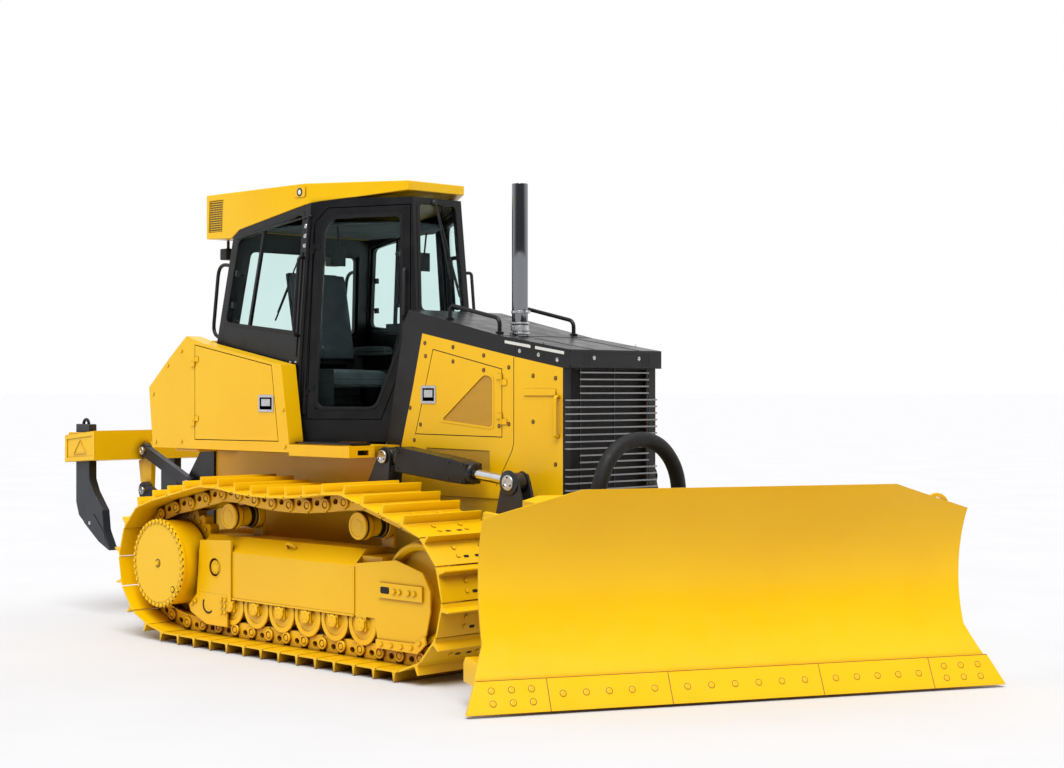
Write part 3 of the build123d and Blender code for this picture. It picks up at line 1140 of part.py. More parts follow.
with BuildPart() as ripper_mount:
    for out in (-1, 1):
        plate(((MOUNT_X, 560), (MOUNT_X, 1250), (-700, 1250), (-860, 1060), (-860, 640), (-760, 560)),
              out * CHEEK_Y[0], out * CHEEK_Y[1])
    slab((-620, MOUNT_X), (-CHEEK_Y[0] - 1, CHEEK_Y[0] + 1), (600, 1240))
    for out in (-1, 1):
        plate(((-740, 1230), (-619, 1240), (-619, 1110), (-740, 1130)), out * 38, out * 58)
        roll(RAM_FRONT[0], RAM_FRONT[1], 50, out * 38, out * 58)
        roll(RAM_FRONT[0], RAM_FRONT[1], 30, out * (RAM_EAR + PIN_GAP), out * 38, sides=ARC)
    link_pins(LINK_A[0], LINK_A[1])
    link_pins(LINK_A[0], LINK_A[1] + LINK_RISE)
ripper_mount.part.label = "ripper_mount"
export_step(ripper_mount.part, "parts/ripper_mount.step")


def link_pair(z_up, half_height):
    """Two side links between the mount and the beam."""
    x0, z0 = LINK_A[0], LINK_A[1] + z_up
    x1, z1 = LINK_B[0], LINK_B[1] + z_up
    length = math.hypot(x1 - x0, z1 - z0)
    nx, nz = -(z1 - z0) / length * half_height, (x1 - x0) / length * half_height
    for out in (-1, 1):
        y0, y1 = out * LINK_Y[0], out * LINK_Y[1]
        plate(((x0 + nx, z0 + nz), (x1 + nx, z1 + nz), (x1 - nx, z1 - nz), (x0 - nx, z0 - nz)), y0, y1)
        for x, z in ((x0, z0), (x1, z1)):
            roll(x, z, half_height + 14, y0, y1)
            roll(x, z, LINK_PIN_R + PIN_GAP, y0, y1, Mode.SUBTRACT)


ram_eye = (LINK_A[0] + LINK_RUN[0] * RAM_REAR_SHARE, LINK_A[1] + LINK_RUN[1] * RAM_REAR_SHARE)
with BuildPart() as ripper_lower_link:
    link_pair(0, 52)
    slab((ram_eye[0] - 45, ram_eye[0] + 45), (-LINK_Y[1] + 1, LINK_Y[1] - 1), (ram_eye[1] - 150, ram_eye[1] - 62))
    for out in (-1, 1):
        slab((ram_eye[0] - 45, ram_eye[0] + 45), (out * 430, out * 480), (ram_eye[1] - 150, ram_eye[1]))
        lug(ram_eye[0], ram_eye[1], 48, ((ram_eye[0] - 45, ram_eye[1] - 100), (ram_eye[0] + 45, ram_eye[1] - 100)),
            out * 38, out * 58)
ripper_lower_link.part.label = "ripper_lower_link"
export_step(ripper_lower_link.part, "parts/ripper_lower_link.step")

with BuildPart() as ripper_upper_link:
    link_pair(LINK_RISE, 42)
ripper_upper_link.part.label = "ripper_upper_link"
export_step(ripper_upper_link.part, "parts/ripper_upper_link.step")

with BuildPart() as ripper_beam:
    with BuildSketch(side(RIPPER_BEAM_HALF)):
        with BuildLine():
            Polyline((RIPPER_REAR, 1140), (RIPPER_FACE, 1165), (RIPPER_FACE, 1385), (RIPPER_REAR, 1345), close=True)
        make_face()
    extrude(amount=2 * RIPPER_BEAM_HALF)
    for out in (-1, 1):
        plate(((-1450, 1170), (-1450, 1300), (-1360, 1300), (-1340, 1200), (-1360, 860), (-1470, 860), (-1520, 1150)),
              out * CHEEK_Y[0], out * CHEEK_Y[1])
    link_pins(LINK_B[0], LINK_B[1])
    link_pins(LINK_B[0], LINK_B[1] + LINK_RISE)
    for y in SHANK_Y:
        slab((SHANK_X[0] - SEAT, SHANK_X[1] + SEAT), (y - SHANK_HALF - SEAT, y + SHANK_HALF + SEAT), (1100, 1420),
             Mode.SUBTRACT)
ripper_beam.part.label = "ripper_beam"
export_step(ripper_beam.part, "parts/ripper_beam.step")

with BuildPart() as ripper_shanks:
    for y in SHANK_Y:
        plate(((SHANK_X[0], 1430), (SHANK_X[0], 840), (-1770, 740), (-1660, 665), (-1338, 500), (-1420, 650),
               (-1440, 790), (-1570, 930), (SHANK_X[1], 1020), (SHANK_X[1], 1430)), y + SHANK_HALF, y - SHANK_HALF)
ripper_shanks.part.label = "ripper_shanks"
export_step(ripper_shanks.part, "parts/ripper_shanks.step")

barrel, rod = cylinder_parts(at(RAM_FRONT[0], 0, RAM_FRONT[1]), at(ram_eye[0], 0, ram_eye[1]),
                             2 * RAM_EAR, 52, 27, 550, 520, Vector(0, 1, 0), 44)
with BuildPart() as ripper_barrel:
    add(barrel)
ripper_barrel.part.label = "ripper_barrel"
export_step(ripper_barrel.part, "parts/ripper_barrel.step")
with BuildPart() as ripper_rod:
    add(rod)
ripper_rod.part.label = "ripper_rod"
export_step(ripper_rod.part, "parts/ripper_rod.step")
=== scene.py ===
"""Looks of the tracked bulldozer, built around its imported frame.

Metres, in the row frame: +X forward, +Y the machine's left, +Z up. Places on the machine are given
as stations: x from the rearmost ground grouser, y from the centre plane, z from the ground.
"""

import json
import math

import bmesh
import bpy
from mathutils import Matrix, Vector


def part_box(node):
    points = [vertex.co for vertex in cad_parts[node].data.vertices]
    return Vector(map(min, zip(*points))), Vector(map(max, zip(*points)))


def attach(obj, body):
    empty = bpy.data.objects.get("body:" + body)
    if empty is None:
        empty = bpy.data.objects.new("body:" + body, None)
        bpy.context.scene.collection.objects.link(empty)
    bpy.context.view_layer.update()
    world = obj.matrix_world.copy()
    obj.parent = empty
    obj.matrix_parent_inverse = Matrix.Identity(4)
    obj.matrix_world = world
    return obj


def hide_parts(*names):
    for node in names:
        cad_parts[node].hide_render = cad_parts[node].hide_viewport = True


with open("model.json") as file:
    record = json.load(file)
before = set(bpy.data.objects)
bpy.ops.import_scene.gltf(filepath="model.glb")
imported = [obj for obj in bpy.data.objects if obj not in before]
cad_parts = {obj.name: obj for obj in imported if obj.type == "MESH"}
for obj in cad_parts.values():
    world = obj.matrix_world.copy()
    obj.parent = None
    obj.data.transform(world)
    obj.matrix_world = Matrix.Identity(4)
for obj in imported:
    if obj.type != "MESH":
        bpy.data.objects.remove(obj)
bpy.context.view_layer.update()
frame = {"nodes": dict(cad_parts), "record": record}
NODES = frame["nodes"]

# ---------------------------------------------------------------- stations
HULL_REAR = -0.540                          # the hull's rear face
hull_low, hull_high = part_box("hull")
X0 = hull_low.x - HULL_REAR
Y0 = (hull_low.y + hull_high.y) / 2


def at(x, y, z):
    """A point of the row frame, from its stations."""
    return Vector((x + X0, y + Y0, z))


def shift(x=0.0, y=0.0, z=0.0):
    """A step in a frame's own directions."""
    return Matrix.Translation((x, y, z))


def axes(origin, x_axis, y_axis):
    """A local frame: local z is square to both axes."""
    x, y = Vector(x_axis).normalized(), Vector(y_axis).normalized()
    z = x.cross(y).normalized()
    m = Matrix((x, z.cross(x), z)).transposed().to_4x4()
    m.translation = origin
    return m


FLIP = shift(0, 2 * Y0, 0) @ Matrix.Diagonal((1, -1, 1, 1))
LEFT, RIGHT = 1, -1
SIDES = {LEFT: "left", RIGHT: "right"}


def sided(out, m):
    """A left-hand frame, or its mirror image on the machine's right."""
    return m if out == LEFT else FLIP @ m


def side(out, y):
    """On the machine's side: local x forward, local y up, local z outward; out is LEFT or RIGHT."""
    m = Matrix(((1, 0, 0), (0, 0, out), (0, 1, 0))).to_4x4()
    m.translation = at(0, out * y, 0)
    return m


def level(z):
    """Flat: local x forward, local y to the left, local z up."""
    return Matrix.Translation(at(0, 0, z))


def upright(x, y, z):
    """Standing at a station, with the machine's own directions."""
    return Matrix.Translation(at(x, y, z))


def ahead(x):
    """Across the machine: local x to the left, local y up, local z forward."""
    return axes(at(x, 0, 0), (0, 1, 0), (0, 0, 1))


# ---------------------------------------------------------------- materials
def rgb(r, g, b):
    """A colour given as the 0-255 values that a screen shows."""
    return [pow(c / 255, 2.2) for c in (r, g, b)] + [1.0]


class Finish:
    """A procedural material under construction."""

    def __init__(self, name, rough, metal=0.0, specular=0.5):
        self.mat = bpy.data.materials.new(name)
        self.mat.use_nodes = True
        self.nodes, self.links = self.mat.node_tree.nodes, self.mat.node_tree.links
        self.shader = self.nodes["Principled BSDF"]
        self.set(Roughness=rough, Metallic=metal)
        self.shader.inputs["Specular IOR Level"].default_value = specular
        self.place = self.nodes.new("ShaderNodeTexCoord").outputs["Object"]

    def set(self, **values):
        for key, value in values.items():
            self.shader.inputs[key.replace("_", " ")].default_value = value

    def noise(self, scale, detail=3.0, stretch=(1, 1, 1)):
        mapping = self.nodes.new("ShaderNodeMapping")
        mapping.inputs["Scale"].default_value = stretch
        self.links.new(self.place, mapping.inputs["Vector"])
        texture = self.nodes.new("ShaderNodeTexNoise")
        texture.inputs["Scale"].default_value = scale
        texture.inputs["Detail"].default_value = detail
        self.links.new(mapping.outputs["Vector"], texture.inputs["Vector"])
        return texture.outputs["Fac"]

    def dots(self, scale):
        """The distance from the nearest point of a regular grid."""
        texture = self.nodes.new("ShaderNodeTexVoronoi")
        texture.inputs["Scale"].default_value = scale
        texture.inputs["Randomness"].default_value = 0.0
        self.links.new(self.place, texture.inputs["Vector"])
        return texture.outputs["Distance"]

    def remap(self, value, low, high, to_low, to_high):
        node = self.nodes.new("ShaderNodeMapRange")
        for key, number in (("From Min", low), ("From Max", high), ("To Min", to_low), ("To Max", to_high)):
            node.inputs[key].default_value = number
        self.links.new(value, node.inputs["Value"])
        return node.outputs["Result"]

    def mix(self, share, first, second):
        node = self.nodes.new("ShaderNodeMix")
        node.data_type = "RGBA"
        self.links.new(share, node.inputs["Factor"])
        for socket, value in ((node.inputs[6], first), (node.inputs[7], second)):
            if isinstance(value, list):
                socket.default_value = value
            else:
                self.links.new(value, socket)
        return node.outputs[2]

    def crevices(self, reach, samples=6):
        """How open a place is: 1 on a free surface, less in corners and behind neighbours; it sets where shade is
        painted.
        """
        node = self.nodes.new("ShaderNodeAmbientOcclusion")
        node.inputs["Distance"].default_value = reach
        node.samples = samples
        return node.outputs["AO"]

    def colour(self, value):
        self.links.new(value, self.shader.inputs["Base Color"])

    def roughness(self, value):
        self.links.new(value, self.shader.inputs["Roughness"])

    def bump(self, height, strength, distance):
        node = self.nodes.new("ShaderNodeBump")
        node.inputs["Strength"].default_value = strength
        node.inputs["Distance"].default_value = distance
        self.links.new(height, node.inputs["Height"])
        self.links.new(node.outputs["Normal"], self.shader.inputs["Normal"])


def paint(name, base, worn, deep, rough=0.34, coat=0.12, specular=0.3):
    """Machinery enamel: slightly mottled, with painted shade in its corners, orange peel and a thin clear coat."""
    f = Finish(name, rough, specular=specular)
    f.set(Coat_Weight=coat, Coat_Roughness=0.15)
    mottled = f.mix(f.remap(f.noise(1.7, 4), 0.35, 0.7, 0.0, 1.0), base, worn)
    # deep is the colour of the painted shade, laid in corners and behind neighbours
    f.colour(f.mix(f.remap(f.crevices(0.09), 0.30, 0.85, 0.0, 1.0), deep, mottled))
    f.roughness(f.remap(f.noise(9.0, 5), 0.3, 0.7, rough - 0.06, rough + 0.10))
    f.bump(f.noise(320.0, 2), 0.05, 0.0006)
    return f.mat


def bare_metal(name, base, rough, brushed=(1, 1, 1)):
    """Plated or polished metal, with a faint drawn grain."""
    f = Finish(name, rough, metal=1.0)
    f.colour(f.mix(f.remap(f.noise(14.0, 3, brushed), 0.3, 0.7, 0, 1), base, [c * 0.9 for c in base[:3]] + [1.0]))
    f.roughness(f.remap(f.noise(60.0, 4, brushed), 0.3, 0.7, rough * 0.6, rough * 1.7))
    f.bump(f.noise(160.0, 3, brushed), 0.04, 0.0005)
    return f.mat


def grained(name, base, light, rough=0.62, scale=420.0, depth=0.25, specular=0.4):
    """Moulded plastic, rubber or cast iron: fine grain over a slightly uneven colour."""
    f = Finish(name, rough, specular=specular)
    f.colour(f.mix(f.remap(f.noise(6.0, 4), 0.3, 0.7, 0.0, 1.0), base, light))
    f.roughness(f.remap(f.noise(40.0, 3), 0.3, 0.7, rough - 0.08, rough + 0.08))
    f.bump(f.noise(scale, 4), depth, 0.0012)
    return f.mat


def perforated(name, sheet_colour, hole, scale, rough=0.5):
    """A sheet with small round holes that are only painted, as dark dots of painted shade with a slight dent."""
    f = Finish(name, rough)
    holes = f.remap(f.dots(scale), 0.30, 0.38, 1.0, 0.0)
    # hole is the colour of the painted shade in the holes
    f.colour(f.mix(holes, sheet_colour, hole))
    f.bump(holes, 0.4, 0.001)
    return f.mat


def glass(name, tint, deeper):
    """A thin clear pane, tinted a little unevenly, that doesn't bend the view."""
    f = Finish(name, 0.0, specular=0.3)
    f.set(Transmission_Weight=1.0, IOR=1.03)
    f.colour(f.mix(f.remap(f.noise(2.0, 2), 0.3, 0.7, 0, 1), tint, deeper))
    return f.mat


# each enamel's third colour is the painted shade of its corners
YELLOW = paint("yellow_enamel", rgb(240, 188, 9), rgb(237, 182, 7), rgb(122, 72, 8))
CHARCOAL = paint("charcoal_enamel", rgb(25, 25, 27), rgb(32, 32, 34), rgb(8, 8, 9), rough=0.33, coat=0.08, specular=0.3)
STEEL = paint("grey_enamel", rgb(38, 41, 46), rgb(46, 49, 54), rgb(12, 12, 14), rough=0.36, coat=0.08, specular=0.35)
CHROME = bare_metal("chrome", rgb(222, 224, 228), 0.09, (1, 1, 0.05))
# the stack's chrome, darkened to paint in the dark room it reflects: painted reflection
CHROME_PAINTED_DARK = bare_metal("stack_chrome_painted_dark", rgb(128, 130, 134), 0.06, (1, 1, 0.05))
SILVER = bare_metal("zinc_plate", rgb(205, 206, 208), 0.30)
RUBBER = grained("hose_rubber", rgb(20, 20, 21), rgb(29, 29, 30))
# dark rubber for seals and seams, and also the dark fill of painted shade in the nose's slots and round the small
# screws
GASKET_AND_SHADE = grained("gasket_rubber_and_painted_shade", rgb(12, 12, 13), rgb(19, 19, 20), 0.45, 300.0, 0.1)
PLASTIC = grained("dark_plastic", rgb(33, 34, 36), rgb(42, 43, 45), 0.55)
# grey standing in for the highlights on the grille's black bars: painted highlight
GRILLE_HIGHLIGHT_GREY = grained("grille_painted_highlight", rgb(122, 123, 126), rgb(140, 141, 144), 0.4, 300.0, 0.08, 0.6)
FABRIC = grained("seat_cloth", rgb(84, 88, 92), rgb(100, 104, 108), 0.9, 900.0, 0.6, 0.2)
# cast iron for the engine and the radiator's fins, and also the dark fill of painted shade in openings, slots and vents
IRON_AND_SHADE = grained("cast_iron_and_painted_shade", rgb(26, 26, 28), rgb(38, 37, 36), 0.7, 200.0)
WORN = grained("worn_steel", rgb(120, 82, 40), rgb(150, 104, 48), 0.5, 220.0, 0.2)
# the punched sheet's dark second colour is painted shade in its holes
MESH_TAN = perforated("punched_sheet", rgb(212, 160, 46), rgb(112, 76, 14), 150.0)
PALE = grained("pale_edge_strip", rgb(206, 208, 204), rgb(222, 224, 220), 0.35, 500.0, 0.1)
LENS = grained("lamp_lens", rgb(215, 222, 226), rgb(232, 238, 240), 0.12, 150.0, 0.3, 0.7)
GLASS = glass("tinted_glass", rgb(234, 248, 246), rgb(230, 245, 243))

SLOT_FINISH = {
    "yellow_paint": YELLOW, "charcoal_paint": CHARCOAL, "grey_steel": STEEL, "chrome_rod": CHROME,
    "chrome_stack": CHROME, "window_glass": GLASS, "hose_rubber": RUBBER, "seat_cover": FABRIC,
    "dark_plastic": PLASTIC, "engine_iron": IRON_AND_SHADE,
}
HARDWARE = {                                # key of a trim piece: its slot and its finish
    "yellow": ("yellow_paint", YELLOW), "charcoal": ("charcoal_paint", CHARCOAL),
    "steel": ("grey_steel", STEEL), "chrome": ("chrome_rod", CHROME), "silver": ("chrome_rod", SILVER),
    "rubber": ("hose_rubber", RUBBER), "gasket": ("hose_rubber", GASKET_AND_SHADE), "plastic": ("dark_plastic", PLASTIC),
    "painted_highlight_grey": ("chrome_rod", GRILLE_HIGHLIGHT_GREY), "iron": ("engine_iron", IRON_AND_SHADE), "worn": ("yellow_paint", WORN),
    "mesh": ("yellow_paint", MESH_TAN), "chrome_painted_dark": ("chrome_stack", CHROME_PAINTED_DARK),
    "pale": ("chrome_rod", PALE), "lens": ("window_glass", LENS), "cloth": ("seat_cover", FABRIC),
}


def slot_of(node):
    """The record's material slot of a CAD node."""
    return next(s["material_slot"] for s in frame["record"]["subparts"] if s["node"] == node)


def body_of(node):
    return next(b for b, members in frame["record"]["behaviour"]["bodies"].items() if node in members)


# ---------------------------------------------------------------- pieces
SMOOTH_ANGLE = math.radians(32)
SHELF = {}                                  # pieces under construction, by name


def finish_mesh(bm, name, material, body, bevel=0.0, segments=2):
    """Turns a mesh under construction into a piece that rides on a body."""
    bmesh.ops.recalc_face_normals(bm, faces=bm.faces)
    for face in bm.faces:
        face.smooth = True
    for edge in bm.edges:
        edge.smooth = len(edge.link_faces) == 2 and edge.calc_face_angle(0) < SMOOTH_ANGLE
    mesh = bpy.data.meshes.new(name)
    bm.to_mesh(mesh)
    bm.free()
    mesh.materials.append(material)
    piece = bpy.data.objects.new(name, mesh)
    bpy.context.scene.collection.objects.link(piece)
    if bevel:
        rounding = piece.modifiers.new("rounding", "BEVEL")
        rounding.width = bevel
        rounding.segments = segments
        rounding.limit_method = "ANGLE"
        rounding.angle_limit = SMOOTH_ANGLE
        rounding.harden_normals = True
    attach(piece, body)
    return piece


def shelf(label, body, key, bevel=0.0, stands_for=()):
    """The mesh of a trim piece under construction, opened at its first use."""
    if label not in SHELF:
        SHELF[label] = (bmesh.new(), body, key, bevel, stands_for)
    return SHELF[label][0]


def close_shelf():
    """Turns every piece under construction into an object."""
    for label, (bm, body, key, bevel, stands_for) in SHELF.items():
        slot, material = HARDWARE[key]
        made = finish_mesh(bm, label, material, body, bevel)
        if stands_for:
            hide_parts(*stands_for)


def bolts_of(body, key):
    return shelf("bolts_" + body + "_" + key, body, key)


def dress(node, bevel=0.004):
    """A CAD node's own shape with its edges rounded, standing for that node."""
    bm = bmesh.new()
    bm.from_mesh(NODES[node].data)
    bmesh.ops.remove_doubles(bm, verts=bm.verts, dist=0.00002)
    bmesh.ops.dissolve_limit(bm, angle_limit=math.radians(0.6), verts=bm.verts, edges=bm.edges)
    slot = slot_of(node)
    piece = finish_mesh(bm, node + "_skin", SLOT_FINISH[slot], body_of(node), bevel)
    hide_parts(node)
    return piece


def refinish(node):
    """A CAD node that stays as it is, with its finish."""
    mesh = NODES[node].data
    mesh.materials.clear()
    mesh.materials.append(SLOT_FINISH[slot_of(node)])


# ---------------------------------------------------------------- mesh kit
QUARTER_Y = Matrix.Rotation(math.pi / 2, 4, "Y")


def placed(m, *points):
    """Local places carried into a frame."""
    return [m @ Vector(p) for p in points]


def rect(x, y):
    """The outline of a rectangle centred on the origin, from its half sizes."""
    return (-x, -y), (x, -y), (x, y), (-x, y)


def ring(count, radius, start=0.0):
    """Evenly spaced places (x, y) round the origin."""
    turns = [start + 2 * math.pi * k / count for k in range(count)]
    return [(radius * math.cos(t), radius * math.sin(t)) for t in turns]


def prism(bm, m, outline, z0, z1, holes=()):
    """An outline of local (x, y) corners drawn out from z0 to z1, with holes through it."""
    caps = ([], [])
    for ring in (outline, *holes):
        loops = [[bm.verts.new(m @ Vector((x, y, z))) for x, y in ring] for z in (z0, z1)]
        for k in range(len(ring)):
            bm.faces.new((loops[0][k - 1], loops[0][k], loops[1][k], loops[1][k - 1]))
        for cap, loop in zip(caps, loops):
            if holes:
                cap += [bm.edges.get((loop[k - 1], loop[k])) for k in range(len(loop))]
            else:
                bm.faces.new(loop)
    if holes:
        for cap in caps:
            bmesh.ops.triangle_fill(bm, edges=cap, use_beauty=True)


def block(bm, m, xs, ys, zs):
    """A box between two local stations on each axis."""
    prism(bm, m, ((xs[0], ys[0]), (xs[1], ys[0]), (xs[1], ys[1]), (xs[0], ys[1])), zs[0], zs[1])


def lathe(bm, m, profile, sides=32):
    """A profile of (radius, height) points turned about local z, closed at both ends."""
    rings = []
    for radius, height in profile:
        turns = [2 * math.pi * k / sides for k in range(sides)] if radius > 0 else [0.0]
        rings.append([bm.verts.new(m @ Vector((radius * math.cos(t), radius * math.sin(t), height))) for t in turns])
    for a, b in zip(rings, rings[1:]):
        for k in range(sides):
            if len(b) == 1:
                bm.faces.new((a[k - 1], a[k], b[0]))
            else:
                bm.faces.new((a[k - 1], a[k], b[k], b[k - 1]))
    for ring in (rings[0], rings[-1]):
        if len(ring) > 1:
            bm.faces.new(ring)


def torus(bm, m, radius, thick, sides=36, round_sides=10, arc=2 * math.pi):
    """A round ring about local z, or an open part of one."""
    whole = arc > 6.28
    steps = sides if whole else sides + 1
    rings = []
    for k in range(steps):
        t = arc * k / sides
        rings.append([bm.verts.new(m @ Vector((
            (radius + thick * math.cos(w)) * math.cos(t), (radius + thick * math.cos(w)) * math.sin(t),
            thick * math.sin(w)))) for w in [2 * math.pi * j / round_sides for j in range(round_sides)]])
    for k in range(steps if whole else steps - 1):
        a, b = rings[k], rings[(k + 1) % steps]
        for j in range(round_sides):
            bm.faces.new((a[j - 1], a[j], b[j], b[j - 1]))
    if not whole:
        bm.faces.new(rings[0])
        bm.faces.new(rings[-1])


def fillet(outline, radius, steps=4):
    """A closed outline of (x, y) corners with its corners rounded."""
    points = []
    for k in range(len(outline)):
        here, before, after = (Vector(outline[k]), Vector(outline[k - 1]), Vector(outline[(k + 1) % len(outline)]))
        a, b = (before - here), (after - here)
        cut = min(radius, a.length * 0.45, b.length * 0.45)
        first, last = here + a.normalized() * cut, here + b.normalized() * cut
        for i in range(steps + 1):
            t = i / steps
            points.append(tuple(first * (1 - t) ** 2 + here * 2 * t * (1 - t) + last * t ** 2))
    return points


def grow(outline, distance):
    """A closed outline set off outward by a distance."""
    area = sum(a[0] * b[1] - b[0] * a[1] for a, b in zip(outline, [*outline[1:], outline[0]]))
    turned = math.copysign(1, area)
    points = []
    for k in range(len(outline)):
        here = Vector(outline[k])
        a = (here - Vector(outline[k - 1])).normalized()
        b = (Vector(outline[(k + 1) % len(outline)]) - here).normalized()
        na, nb = Vector((a.y, -a.x)) * turned, Vector((b.y, -b.x)) * turned
        miter = (na + nb).normalized()
        points.append(tuple(here + miter * (distance / max(0.3, miter.dot(na)))))
    return points


def circle(x, y, radius, sides=24, squash=1.0):
    """A round outline, or one squashed in its height."""
    return [(x + dx, y + dy * squash) for dx, dy in ring(sides, radius)]


def eased(points, radius, steps=5):
    """An open path of places with its inner corners rounded."""
    path = [Vector(points[0])]
    for before, here, after in zip(points, points[1:], points[2:]):
        before, here, after = Vector(before), Vector(here), Vector(after)
        cut = min(radius, (before - here).length * 0.48, (after - here).length * 0.48)
        first, last = here + (before - here).normalized() * cut, here + (after - here).normalized() * cut
        for i in range(steps + 1):
            t = i / steps
            path.append(first * (1 - t) ** 2 + here * 2 * t * (1 - t) + last * t ** 2)
    return [*path, Vector(points[-1])]


def pipe(bm, points, radius, bend=0.04, sides=12):
    """A round bar along a path of places, its corners bent round."""
    path = eased(points, bend) if bend else [Vector(p) for p in points]
    tangent = (path[1] - path[0]).normalized()
    across = tangent.orthogonal().normalized()
    rings = []
    for k, here in enumerate(path):
        ahead_of, behind = path[min(k + 1, len(path) - 1)], path[max(k - 1, 0)]
        tangent = (ahead_of - behind).normalized()
        across = (across - tangent * across.dot(tangent)).normalized()
        up = tangent.cross(across)
        rings.append([bm.verts.new(here + (across * math.cos(t) + up * math.sin(t)) * radius)
                      for t in [2 * math.pi * j / sides for j in range(sides)]])
    for a, b in zip(rings, rings[1:]):
        for j in range(sides):
            bm.faces.new((a[j - 1], a[j], b[j], b[j - 1]))
    bm.faces.new(rings[0])
    bm.faces.new(rings[-1])


def bolt(bm, m, size, washer=True):
    """A hex bolt head standing on local z = 0, chamfered, on its washer; size is its corner radius."""
    foot = 0.0
    if washer:
        foot = size * 0.16
        lathe(bm, m, ((size * 1.35, 0), (size * 1.35, foot)), 14)
    lathe(bm, m, ((size, foot), (size, size * 0.5 + foot), (size * 0.84, size * 0.62 + foot)), 6)


def button(bm, m, size, height=0.45):
    """A round screw or rivet head standing on local z = 0."""
    lathe(bm, m, ((size, 0), (size, size * height * 0.5), (size * 0.72, size * height * 0.9), (0, size * height)), 14)


def cushion(bm, m, wide, deep, thick, crown=0.03, cells=14):
    """A crowned, closed pad centred on local x and y, its underside on local z = 0."""
    grid = {}
    for top in (0, 1):
        for i in range(cells + 1):
            for j in range(cells + 1):
                if top and (i in (0, cells) or j in (0, cells)):
                    grid[1, i, j] = grid[0, i, j]
                    continue
                u, v = 2 * i / cells - 1, 2 * j / cells - 1
                x, y = wide / 2 * math.sin(u * math.pi / 2), deep / 2 * math.sin(v * math.pi / 2)
                rim = (1 - abs(u) ** 6) * (1 - abs(v) ** 6)
                bulge = crown * (1 - u * u) * (1 - v * v)
                z = thick * 0.45 + (thick * 0.55 * rim ** 0.5 + bulge if top else -thick * 0.45 * rim ** 0.5)
                grid[top, i, j] = bm.verts.new(m @ Vector((x, y, z)))
    for top in (0, 1):
        for i in range(cells):
            for j in range(cells):
                bm.faces.new((grid[top, i, j], grid[top, i + 1, j], grid[top, i + 1, j + 1], grid[top, i, j + 1]))


# ---------------------------------------------------------------- stage
FOCAL = 61.59                               # mm on a 36 mm sensor
CAMERA_STATION = (10.398, -8.120, 1.701)
CAMERA_TURN, CAMERA_PITCH = math.radians(44.95), math.radians(0.13)


def make_camera():
    data = bpy.data.cameras.new("camera")
    data.lens = FOCAL
    data.sensor_width = 36.0
    data.clip_end = 1000.0
    camera = bpy.data.objects.new("camera", data)
    bpy.context.scene.collection.objects.link(camera)
    camera.location = at(*CAMERA_STATION)
    camera.rotation_euler = (math.radians(90) + CAMERA_PITCH, 0, CAMERA_TURN)
    bpy.context.scene.camera = camera


make_camera()

# ---------------------------------------------------------------- the blade's hose
HOSE_ROUTE = ((3.350, -0.570, 0.6903), (3.350, -0.570, 0.900), (3.415, -0.605, 1.120), (3.430, -0.520, 1.330),
              (3.440, -0.330, 1.415), (3.440, -0.110, 1.390), (3.430, 0.060, 1.240), (3.400, 0.130, 1.040),
              (3.350, 0.140, 0.880), (3.350, 0.140, 0.6903))
HOSE_R, HOSE_LONG = 0.045, 1.858             # the length runs along the curve, from face to face


def make_hose():
    """The sleeved hose bundle that loops over the cross member."""
    data = bpy.data.curves.new("blade_hose_sleeve", "CURVE")
    data.dimensions = "3D"
    data.bevel_depth = HOSE_R
    data.bevel_resolution = 6
    data.resolution_u = 12
    data.use_fill_caps = True
    spline = data.splines.new("NURBS")
    spline.points.add(len(HOSE_ROUTE) - 1)
    for point, place in zip(spline.points, HOSE_ROUTE):
        point.co = (*at(*place), 1.0)
    spline.order_u = 3
    spline.use_endpoint_u = True
    data.materials.append(RUBBER)
    sleeve = bpy.data.objects.new("blade_hose_sleeve", data)
    bpy.context.scene.collection.objects.link(sleeve)
    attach(sleeve, "c_frame")
    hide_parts("blade_hose")


make_hose()

# ---------------------------------------------------------------- CAD forms kept, with their edges rounded
CAD_SKINS = {                               # node: edge rounding
    "hull": 0.005, "lift_brackets": 0.004, "hood": 0.005, "hood_trim": 0.007, "fender_left": 0.005,
    "fender_right": 0.005, "rear_tank": 0.012, "cab_frame": 0.006, "cab_roof": 0.012, "console": 0.012,
    "track_frame_left": 0.004, "track_frame_right": 0.004, "ripper_mount": 0.004, "c_frame": 0.005,
    "swivel_yoke": 0.004, "blade": 0.003, "cutting_edge": 0.002, "ripper_lower_link": 0.004,
    "ripper_upper_link": 0.004, "ripper_beam": 0.006, "ripper_shanks": 0.005, "cab_door_left": 0.005,
    "cab_door_right": 0.005, "hood_door_left": 0.004, "hood_door_right": 0.004, "fender_door_left": 0.006,
    "fender_door_right": 0.006, "work_lights": 0.008,
}
for node_name, edge in CAD_SKINS.items():
    dress(node_name, edge)
for node_name in ("cab_glass", "door_glass_left", "door_glass_right", "engine", "radiator"):
    refinish(node_name)

# ---------------------------------------------------------------- tracks
TRACK_Y, SHOE_HALF, SHOE_COUNT = 0.940, 0.305, 40
PIN_Z, LINK_HALF, SHOE_PLATE, GROUSER = 0.120, 0.050, 0.012, 0.058
RAIL_SPREAD, RAIL_T = 0.090, 0.040
SPROCKET, SPROCKET_R = (-0.070, 0.520), 0.365
IDLER, IDLER_PITCH_R = (2.390, 0.493), 0.373
GROUND_REAR = (0.060, PIN_Z)
CARRIER_PINS = ((0.530, 1.018), (1.853, 1.025))
CHAIN_SAG = 0.058


